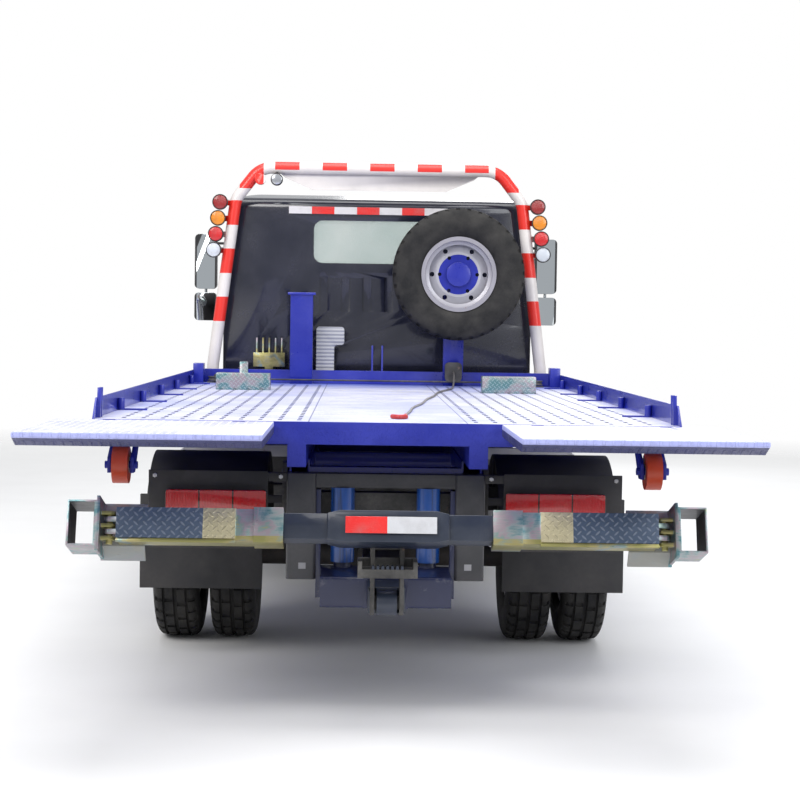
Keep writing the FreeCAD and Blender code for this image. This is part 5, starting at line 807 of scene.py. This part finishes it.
def place_copy(piece, name, matrix, material, body, *nodes):
    """A copy with its own mesh, its place kept in the mesh, standing for some CAD nodes."""
    copy = piece.copy()
    copy.data = piece.data.copy()
    copy.data.transform(matrix)
    bpy.context.scene.collection.objects.link(copy)
    settle(copy, name, material, body, 30)
    if nodes:
        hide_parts(*nodes)
    return copy


def place_tyres(rubber):
    tyre = shape_tyre()
    turn_spare = Matrix.Rotation(math.radians(90), 4, "Z")
    for word, side in SIDES:
        place_copy(tyre, f"front_tyre_{word}_tread", Matrix.Translation((0.750 * side, FRONT_AXLE_Y, AXLE_Z)), rubber,
                   f"front_wheel_{word}", f"front_tyre_{word}")
        for which, x in (("inner", 0.6575), ("outer", 0.9075)):
            spot = Matrix.Translation((x * side, REAR_AXLE_Y, AXLE_Z))
            nodes = (f"rear_tyres_{word}",) if which == "outer" else ()
            place_copy(tyre, f"rear_tyre_{word}_{which}_tread", spot, rubber, f"rear_wheels_{word}", *nodes)
    place_copy(tyre, "spare_tyre_tread", Matrix.Translation(SPARE) @ turn_spare, rubber, "bed", "spare_tyre")
    bpy.data.objects.remove(tyre)


def radial_band(finish, centre, axes):
    """Distance from an axle, as a socket."""
    tree = finish.tree
    parts = {"x": finish.x, "y": finish.y, "z": finish.z}
    first = plus(tree, parts[axes[0]], -centre[0])
    second = plus(tree, parts[axes[1]], -centre[1])
    total = fused(tree, first, first, times(tree, second, second))
    return sum_of(tree, "SQRT", total)


def spare_rim_finish():
    """Silver rim with a blue ring round its bore and a rusty middle."""
    finish = Finish("Spare rim", metallic=0.3, coat=0.2)
    tree = finish.tree
    reach = radial_band(finish, (SPARE.x, SPARE.z), "xz")
    worn = finish.worn((0.46, 0.46, 0.50), (0.30, 0.20, 0.16), (0.36, 0.32, 0.34), 0.3, 0.35, 0.28)
    blue = finish.worn(COBALT, (0.2, 0.2, 0.3), (0.12, 0.12, 0.25), 0.2, 0.15, 0.25)
    middle = under(tree, reach, 0.118)
    colour = blend_colour(tree, middle, worn["Color"], blue["Color"])
    well = stretch(tree, reach, 0.165, 0.200)
    colour = blend_colour(tree, times(tree, well, 0.35), colour, (0.12, 0.10, 0.14))
    return finish.end(colour, worn["Roughness"], worn["Height"], 0.0004)


def cab_finish():
    """Near-black navy gloss with dust low down."""
    finish = Finish("Cab paint", coat=0.6)
    tree = finish.tree
    low = stretch(tree, finish.z, 1.7, 0.75)
    haze = both(tree, low, noise(tree, finish.coordinates, 4.0, 5.0))
    worn = finish.worn((0.006, 0.008, 0.022), (0.10, 0.10, 0.12), (0.10, 0.095, 0.10), 0.06, 0.2, 0.14)
    colour = blend_colour(tree, times(tree, haze, 0.25), worn["Color"], (0.085, 0.08, 0.08))
    return finish.end(colour, worn["Roughness"], worn["Height"], 0.0002)


def duct_finish():
    finish = Finish("Duct plastic", coat=0.1)
    tree = finish.tree
    ribs = sine(tree, finish.z, 2 * math.pi / 0.022)
    worn = finish.worn((0.46, 0.47, 0.50), (0.3, 0.3, 0.3), (0.32, 0.30, 0.28), 0.1, 0.45, 0.42)
    return finish.end(worn["Color"], worn["Roughness"], ribs, 0.0018)


def valve_finish():
    """Yellow passivated metal under dark grime."""
    finish = Finish("Valve block", metallic=0.6)
    tree = finish.tree
    bloom = finish.bloom(8.0, 1.1)
    grime = stretch(tree, noise(tree, finish.coordinates, 12.0, 5.0), 0.42, 0.66, 0.0, 0.8)
    colour = blend_colour(tree, grime, bloom["Color"], (0.05, 0.045, 0.04))
    return finish.end(colour, bloom["Roughness"], bloom["Height"], 0.0006)


def post_finish():
    """Charcoal posts with a small blank white label low on each."""
    finish = Finish("Lift frame", coat=0.2)
    tree = finish.tree
    worn = finish.worn((0.035, 0.036, 0.042), (0.22, 0.20, 0.19), (0.17, 0.16, 0.16), 0.25, 0.35, 0.34)
    side = sum_of(tree, "ABSOLUTE", finish.x)
    rear = under(tree, finish.normal[1], -0.8)
    label = both(tree, rear, between(tree, side, 0.308, 0.336), between(tree, finish.z, 0.484, 0.508))
    colour = blend_colour(tree, label, worn["Color"], (0.34, 0.34, 0.36))
    return finish.end(colour, worn["Roughness"], worn["Height"], 0.0005)


def rail_finish():
    """Cobalt side rails; the sill tubes' rear ends are closed with cream caps."""
    finish = Finish("Side rail", coat=0.35)
    tree = finish.tree
    worn = finish.worn(COBALT, (0.22, 0.22, 0.30), (0.16, 0.17, 0.34), 0.3, 0.22, 0.22)
    side = sum_of(tree, "ABSOLUTE", finish.x)
    cap = both(tree, over(tree, side, 1.102), under(tree, finish.normal[1], -0.8),
               under(tree, finish.z, 1.062), under(tree, finish.y, -2.0))
    colour = blend_colour(tree, cap, worn["Color"], (0.66, 0.60, 0.46))
    return finish.end(colour, worn["Roughness"], worn["Height"], 0.0005)


def carriage_finish():
    """Navy carriage, worn through to grey metal along its edges and corners."""
    finish = Finish("Lift carriage", coat=0.3)
    tree = finish.tree
    worn = finish.worn((0.012, 0.018, 0.070), (0.22, 0.22, 0.25), (0.07, 0.07, 0.10), 0.2, 0.2, 0.28)
    scuff = stretch(tree, noise(tree, finish.coordinates, 14.0, 7.0, 0.7), 0.60, 0.68)
    side = sum_of(tree, "ABSOLUTE", finish.x)
    outer = both(tree, scuff, over(tree, side, 0.10), under(tree, finish.z, 0.60))
    colour = blend_colour(tree, times(tree, outer, 0.5), worn["Color"], (0.16, 0.16, 0.20))
    return finish.end(colour, worn["Roughness"], worn["Height"], 0.0006)


def hydraulic_finish():
    """Azure barrels with a bright chromed length and a few runs of old oil."""
    finish = Finish("Cylinder", coat=0.5)
    tree = finish.tree
    worn = finish.worn((0.008, 0.080, 0.36), (0.34, 0.34, 0.36), (0.10, 0.13, 0.22), 0.25, 0.25, 0.20)
    run = put(tree, "Mapping", {"Vector": finish.coordinates, "Scale": (60.0, 60.0, 3.0)}).outputs[0]
    oil = stretch(tree, noise(tree, run, 1.0, 3.0), 0.56, 0.70, 0.0, 0.7)
    colour = blend_colour(tree, oil, worn["Color"], (0.02, 0.03, 0.06))
    return finish.end(colour, worn["Roughness"], worn["Height"], 0.0004)


def steel_finish(name, colour=(0.62, 0.62, 0.64), rough=0.22):
    finish = Finish(name, metallic=0.95)
    tree = finish.tree
    cloud = noise(tree, finish.coordinates, 14.0, 4.0)
    tone = blend_colour(tree, stretch(tree, cloud, 0.3, 0.7), colour, tuple(part * 0.72 for part in colour))
    return finish.end(tone, stretch(tree, cloud, 0.2, 0.8, rough, rough + 0.14), cloud, 0.0002)


def spring_finish():
    """Axle and leaf springs: black paint under a coat of road dirt and rust."""
    finish = Finish("Running gear", coat=0.0)
    worn = finish.worn((0.020, 0.019, 0.020), (0.16, 0.075, 0.045), (0.14, 0.115, 0.095), 0.5, 0.6, 0.5)
    return finish.end(worn["Color"], worn["Roughness"], worn["Height"], 0.0008)


def caster_finish():
    """Red wheel with a pale hub."""
    finish = Finish("Bed roller", coat=0.2)
    tree = finish.tree
    reach = radial_band(finish, CASTER, "yz")
    worn = finish.worn((0.60, 0.055, 0.012), (0.30, 0.10, 0.05), (0.28, 0.15, 0.10), 0.4, 0.3, 0.34)
    colour = blend_colour(tree, under(tree, reach, 0.030), worn["Color"], (0.55, 0.53, 0.50))
    return finish.end(colour, worn["Roughness"], worn["Height"], 0.0006)


def floor_finish():
    """Plain pale studio floor with a very soft grain, thinning out into the white background far away."""
    finish = Finish("Studio floor", specular=0.25)
    tree = finish.tree
    reach = put(tree, "VectorMath", {0: finish.coordinates}, operation="LENGTH").outputs["Value"]
    cloud = noise(tree, finish.coordinates, 1.2, 3.0)
    tone = blend_colour(tree, stretch(tree, cloud, 0.3, 0.7), (0.80, 0.80, 0.80), (0.84, 0.84, 0.84))
    return finish.end(tone, 0.65, cloud, 0.0002, alpha=stretch(tree, reach, 5.5, 15.0, 1.0, 0.0))


# Details that stay with the scene
def bolt_heads(places, size, height, name, body, material):
    """Hexagon heads modelled once and copied: places are their seats, and they stand out to the rear."""
    choose_none()
    bpy.ops.mesh.primitive_cylinder_add(vertices=6, radius=size, depth=height, location=(0, 0, height / 2))
    head = bpy.context.object
    pick_faces(head, lambda face: face.normal.z > 0.9)
    bpy.ops.mesh.inset(thickness=size * 0.16, depth=0)
    bpy.ops.transform.translate(value=(0, 0, height * 0.18))
    object_mode()
    turn = Matrix.Rotation(math.pi / 2, 4, "X")
    heads = []
    for place in places:
        copy = head.copy()
        copy.data = head.data.copy()
        copy.data.transform(Matrix.Translation(place) @ turn)
        bpy.context.scene.collection.objects.link(copy)
        heads.append(copy)
    bpy.data.objects.remove(head)
    return settle(joined(heads), name, material, body, 30)


def leaned_block(x0, x1, depth0, depth1, rise0, rise1):
    """A block in the crossbar's leaned frame."""
    piece = block_piece((x0, depth0, rise0), (x1, depth1, rise1))
    lean = Matrix.Translation((0, BAR_Y, BAR_Z)) @ Matrix.Rotation(-BAR_LEAN, 4, "X")
    choose(piece)
    bpy.ops.object.transform_apply(location=True, rotation=True, scale=True)
    piece.data.transform(lean)
    return piece


def strip_finish(name, first, second, edge):
    """Reflective tape with a fine honeycomb, blank, in two or more colours along X."""
    finish = Finish(name, coat=0.7)
    tree = finish.tree
    cell = put(tree, "TexVoronoi", {"Vector": finish.coordinates, "Scale": 260.0}, feature="DISTANCE_TO_EDGE")
    net = stretch(tree, cell.outputs[0], 0.02, 0.12)
    mask = edge(tree, finish)
    base = blend_colour(tree, mask, first, second)
    dirt = stretch(tree, noise(tree, finish.coordinates, 12.0), 0.5, 0.8, 0.0, 0.35)
    base = blend_colour(tree, dirt, base, (0.22, 0.20, 0.20))
    return finish.end(base, stretch(tree, net, 0, 1, 0.34, 0.16), net, 0.0002)


def hub_strip():
    """The blank strip on the crossbar's hub: red on the left, silver on the right."""
    piece = leaned_block(-0.152, 0.172, -0.0718, -0.0690, -0.028, 0.032)
    bevelled(piece, 0.0008, 1)
    material = strip_finish("Hub strip", (0.80, 0.012, 0.010), (0.62, 0.63, 0.66),
                            lambda tree, finish: over(tree, finish.x, -0.004))
    return settle(piece, "hub_strip", material, "crossbar")


def cab_strip():
    """Blank red and white tape across the cab's back over the rear window."""
    piece = block_piece((-0.549, 1.7792, 2.099), (0.421, 1.7822, 2.143))
    bevelled(piece, 0.0008, 1)
    def edge(tree, finish):
        place = sum_of(tree, "FRACT", sum_of(tree, "DIVIDE", plus(tree, finish.x, 0.409 + 2.75), 0.275))
        return both(tree, under(tree, place, 0.50), between(tree, finish.x, -0.42, 0.29))
    material = strip_finish("Cab strip", (0.66, 0.64, 0.66), (0.72, 0.012, 0.010), edge)
    return settle(piece, "cab_strip", material, "cab")


def work_lamp(material, glass):
    """A small round lamp under the hoop's left corner, spun from its section."""
    centre = Vector((-0.620, 1.652, 2.295))
    section = [(0.0004, 0.004), (0.030, 0.004), (0.037, 0.012), (0.037, 0.030), (0.024, 0.046), (0.0004, 0.050)]
    shell = spun_ring(section)
    shell.location = centre
    settle(shell, "work_lamp_shell", material, "chassis", 40)
    lens = disc_piece(centre + Vector((0, 0.005, 0)), 0.031, 0.006)
    bevelled(lens, 0.002, 2)
    settle(lens, "work_lamp_lens", glass, "chassis")
    stem = block_piece((-0.627, 1.690, 2.285), (-0.613, 1.716, 2.345))
    bevelled(stem, 0.002, 2)
    settle(stem, "work_lamp_stem", material, "chassis")


def lamp_bezels(material):
    """Dark rings round the hoop's eight lamps, spun once from a closed section and copied."""
    section = [(0.0415, 0.0), (0.0435, -0.005), (0.0465, -0.004), (0.0475, 0.010), (0.0470, 0.024), (0.0425, 0.024),
               (0.0415, 0.0)]
    ring = spun_ring(section)
    for word, side in SIDES:
        for x, z in HOOP_LAMPS:
            spot = Matrix.Translation((x * side, 1.650, z))
            place_copy(ring, f"lamp_bezel_{word}_{round(z * 1000)}", spot, material, "chassis")
    bpy.data.objects.remove(ring)


def step_teeth(material):
    """Raised teeth along the rear edge of the fold arm's step, arrayed from one tapered block."""
    tooth = block_piece((-0.057, -2.888, 0.566), (-0.047, -2.858, 0.575))
    pick_faces(tooth, lambda face: face.normal.z > 0.9)
    bpy.ops.mesh.inset(thickness=0.0022, depth=0)
    bpy.ops.transform.translate(value=(0, 0, 0.004))
    object_mode()
    with_modifier(tooth, "ARRAY", count=7, use_relative_offset=False, use_constant_offset=True,
                  constant_offset_displace=(0.01733, 0, 0))
    return settle(tooth, "step_teeth", material, node_body["fold_arm"], 30)


# Padded seats, filled by a cloth simulation
def padded_seat(piece, name, cloth_look):
    """A seat pad: remeshed, puffed up by cloth pressure while its base holds still, and smoothed."""
    choose(piece)
    remesh = piece.modifiers.new("Remesh", "REMESH")
    remesh.mode = "VOXEL"
    remesh.voxel_size = 0.0075
    bpy.ops.object.modifier_apply(modifier=remesh.name)
    puff_up(piece, 0.024)
    with_modifier(piece, "SUBSURF", levels=1, render_levels=1)
    settle(piece, name, cloth_look, "cab", 60)
    return piece


def puff_up(piece, reach):
    """Pressure for 20 frames with gravity off, and no point moved further than its reach."""
    before = [vertex.co.copy() for vertex in piece.data.vertices]
    low = min(point.z for point in before)
    held = piece.vertex_groups.new(name="held")
    held.add([i for i, point in enumerate(before) if point.z < low + 0.02], 1.0, "REPLACE")
    cloth = piece.modifiers.new("Cloth", "CLOTH")
    cloth.settings.quality = 5
    cloth.settings.mass = 0.3
    cloth.settings.tension_stiffness = 15
    cloth.settings.compression_stiffness = 15
    cloth.settings.bending_stiffness = 2.0
    cloth.settings.use_pressure = True
    cloth.settings.uniform_pressure_force = 4.0
    cloth.settings.effector_weights.gravity = 0.0
    cloth.settings.vertex_group_mass = "held"
    cloth.point_cache.frame_start = 1
    cloth.point_cache.frame_end = 20
    scene = bpy.context.scene
    for frame_number in range(1, 21):
        scene.frame_set(frame_number)
    choose(piece)
    bpy.ops.object.modifier_apply(modifier=cloth.name)
    scene.frame_set(1)
    for vertex, start in zip(piece.data.vertices, before):
        move = vertex.co - start
        if move.length > reach:
            vertex.co = start + move.normalized() * reach
    piece.vertex_groups.clear()


# The scene put together
def lay_out_cord():
    """The rope comes first: its line and its hook's finish."""
    rope = lay_rope()
    hook = dressed("tow_hook", painted("Hook red", (0.50, 0.012, 0.018), 0.3, 0.5, 0.2), 0.0012)


place_camera()
lay_out_cord()

CHASSIS_BLACK = painted("Chassis black", (0.016, 0.016, 0.018), 0.42, 0.4, 0.45, bare=(0.14, 0.08, 0.06))
RUNNING_GEAR = spring_finish()
TANK_STEEL = painted("Tank", (0.16, 0.16, 0.17), 0.34, 0.3, 0.4, bare=(0.4, 0.4, 0.42))
BOX_BLACK = painted("Tool box", (0.022, 0.022, 0.024), 0.36, 0.3, 0.4)
GUARD_RUBBER = painted("Guard rubber", (0.020, 0.020, 0.022), 0.55, 0.15, 0.55, dust_colour=(0.11, 0.10, 0.095))
COBALT_PAINT = painted("Cobalt paint", COBALT, 0.22, 0.3, 0.2, 0.35, bare=(0.22, 0.22, 0.30),
                       dust_colour=(0.16, 0.17, 0.34))
SLATE_PAINT = painted("Slate paint", (0.018, 0.026, 0.048), 0.28, 0.25, 0.3, 0.2, bare=(0.24, 0.24, 0.26),
                      dust_colour=(0.10, 0.11, 0.13))
BLACK_PLASTIC = painted("Black plastic", (0.018, 0.018, 0.020), 0.45, 0.05, 0.25, dust_colour=(0.10, 0.10, 0.10))
CAST_BLACK = painted("Cast iron", (0.020, 0.020, 0.021), 0.5, 0.5, 0.5, bare=(0.14, 0.09, 0.07))
GUARD_WHITE = painted("Side guard", (0.46, 0.46, 0.47), 0.34, 0.4, 0.4, bare=(0.24, 0.15, 0.11))
RIM_PAINT = rim_finish()
RUBBER = tyre_finish()
GLASS = window_finish()
CAB_PAINT = cab_finish()
HYDRAULIC = hydraulic_finish()
STOP_ZINC = stop_finish()
BRIGHT_STEEL = steel_finish("Bright steel")
HEADLAMP = steel_finish("Headlamp", (0.72, 0.74, 0.78), 0.10)

DRESSED = {
    "chassis_frame": (CHASSIS_BLACK, 0.002), "fuel_tank": (TANK_STEEL, 0.002), "tool_box": (BOX_BLACK, 0.002),
    "front_bumper": (CAB_PAINT, 0.003), "rear_mudguards": (GUARD_RUBBER, 0.0015), "lift_frame": (post_finish(), 0.002),
    "side_guards": (GUARD_WHITE, 0.002), "valve_block": (valve_finish(), 0.002), "intake_duct": (duct_finish(), 0.003),
    "light_gantry": (gantry_finish(), 0.0), "rear_lamps": (lamp_finish(), 0.003), "engine": (CAST_BLACK, 0.004),
    "front_axle": (RUNNING_GEAR, 0.0015), "cab_shell": (CAB_PAINT, 0.003), "door_left": (CAB_PAINT, 0.002),
    "door_right": (CAB_PAINT, 0.002), "mirrors": (mirror_finish(), 0.0), "headlamps": (HEADLAMP, 0.002),
    "tilt_frame": (COBALT_PAINT, 0.002), "deck": (deck_finish(), 0.002), "side_rails": (rail_finish(), 0.002),
    "headboard": (COBALT_PAINT, 0.002), "wheel_stops": (STOP_ZINC, 0.002), "ramp_left": (ramp_finish(), 0.0015),
    "ramp_right": (bpy.data.materials["Ramp"], 0.0015), "lift_carriage": (carriage_finish(), 0.003),
    "inner_boom": (SLATE_PAINT, 0.002), "fold_arm": (CAST_BLACK, 0.002), "crossbar": (SLATE_PAINT, 0.003),
    "arm_left": (arm_finish(), 0.0015), "arm_right": (bpy.data.materials["Sliding arm"], 0.0015),
    "bracket_left": (bracket_finish(), 0.0015), "bracket_right": (bpy.data.materials["End bracket"], 0.0015),
}
PAINTED = {
    "rear_axle": RUNNING_GEAR, "lift_cylinders": HYDRAULIC, "knuckle_left": CAST_BLACK, "knuckle_right": CAST_BLACK,
    "front_rim_left": RIM_PAINT, "front_rim_right": RIM_PAINT, "rear_rims_left": RIM_PAINT,
    "rear_rims_right": RIM_PAINT,
    "cab_glass": GLASS, "door_glass_left": GLASS, "door_glass_right": GLASS, "steering_wheel": BLACK_PLASTIC,
    "tilt_barrels": HYDRAULIC, "tilt_rods": BRIGHT_STEEL, "spare_rim": spare_rim_finish(),
    "winch": CAST_BLACK, "caster_wheel_left": caster_finish(), "caster_wheel_right": bpy.data.materials["Bed roller"],
    "front_tyre_left": RUBBER, "front_tyre_right": RUBBER, "rear_tyres_left": RUBBER, "rear_tyres_right": RUBBER,
    "spare_tyre": RUBBER, "seats": BLACK_PLASTIC, "winch_rope": BRIGHT_STEEL, "tow_hook": BRIGHT_STEEL,
}

for node, (material, width) in DRESSED.items():
    dressed(node, material, width)
    paint_node(node, material)
for node, material in PAINTED.items():
    paint_node(node, material)

place_tyres(RUBBER)
hub_strip()
cab_strip()
work_lamp(BLACK_PLASTIC, HEADLAMP)
lamp_bezels(BLACK_PLASTIC)
step_teeth(SLATE_PAINT)
BOARD_BOLTS = [(x * side, -2.292, z) for _, side in SIDES for x in (0.408, 0.894) for z in (0.584, 0.838)]
bolt_heads(BOARD_BOLTS, 0.009, 0.006, "lamp_board_bolts", "chassis", BRIGHT_STEEL)


# Seats: three padded pieces that start a little smaller than their blocks
def seat_form(x):
    """One seat's cushion and backrest: two rounded blocks in one mesh."""
    cushion = block_piece((x - 0.215, 1.905, 1.062), (x + 0.215, 2.308, 1.190))
    rest = block_piece((x - 0.205, 1.858, 1.150), (x + 0.205, 1.955, 1.598))
    for piece in (cushion, rest):
        bevelled(piece, 0.035, 4, 20)
    return joined([cushion, rest])


CLOTH = cloth_finish()
for name, x in (("seat_driver", -0.480), ("seat_middle", 0.010), ("seat_right", 0.480)):
    seat = padded_seat(seat_form(x), name, CLOTH)
    if name == "seat_driver":
        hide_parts("seats")


# Floor, light and background
def studio():
    choose_none()
    bpy.ops.mesh.primitive_plane_add(size=60, location=(0, 0, -0.001))
    floor = bpy.context.object
    floor.name = "studio_floor"
    floor.data.materials.append(floor_finish())
    for name, place, size, power, colour in (
            ("key", (-5.5, -7.5, 7.0), 5.0, 620, (1.0, 0.98, 0.95)),
            ("fill", (6.5, -6.5, 4.5), 5.0, 330, (0.95, 0.97, 1.0)),
            ("top", (0.0, -0.5, 7.5), 6.0, 420, (1.0, 1.0, 1.0)),
            ("front", (2.0, 9.0, 5.0), 5.0, 260, (1.0, 1.0, 1.0))):
        light = bpy.data.lights.new(name, "AREA")
        light.size = size
        light.energy = power
        light.color = colour
        lamp = bpy.data.objects.new(name, light)
        bpy.context.scene.collection.objects.link(lamp)
        lamp.location = place
        aim = Vector((0, 0, 1.0)) - Vector(place)
        lamp.rotation_euler = aim.to_track_quat("-Z", "Y").to_euler()
    world = bpy.data.worlds.new("Studio")
    bpy.context.scene.world = world
    world.use_nodes = True
    tree = world.node_tree
    sky = tree.nodes["Background"]
    sky.inputs["Strength"].default_value = 1.0
    path = tree.nodes.new("ShaderNodeLightPath")
    seen = tree.nodes.new("ShaderNodeMath")
    seen.operation = "MAXIMUM"
    tree.links.new(path.outputs["Is Camera Ray"], seen.inputs[0])
    tree.links.new(path.outputs["Is Transmission Ray"], seen.inputs[1])
    mix = tree.nodes.new("ShaderNodeMix")
    mix.data_type = "RGBA"
    mix.inputs[6].default_value = (0.55, 0.56, 0.58, 1)
    mix.inputs[7].default_value = (1, 1, 1, 1)
    tree.links.new(seen.outputs[0], mix.inputs[0])
    tree.links.new(mix.outputs[2], sky.inputs["Color"])
    bpy.context.scene.view_settings.view_transform = "Standard"


studio()
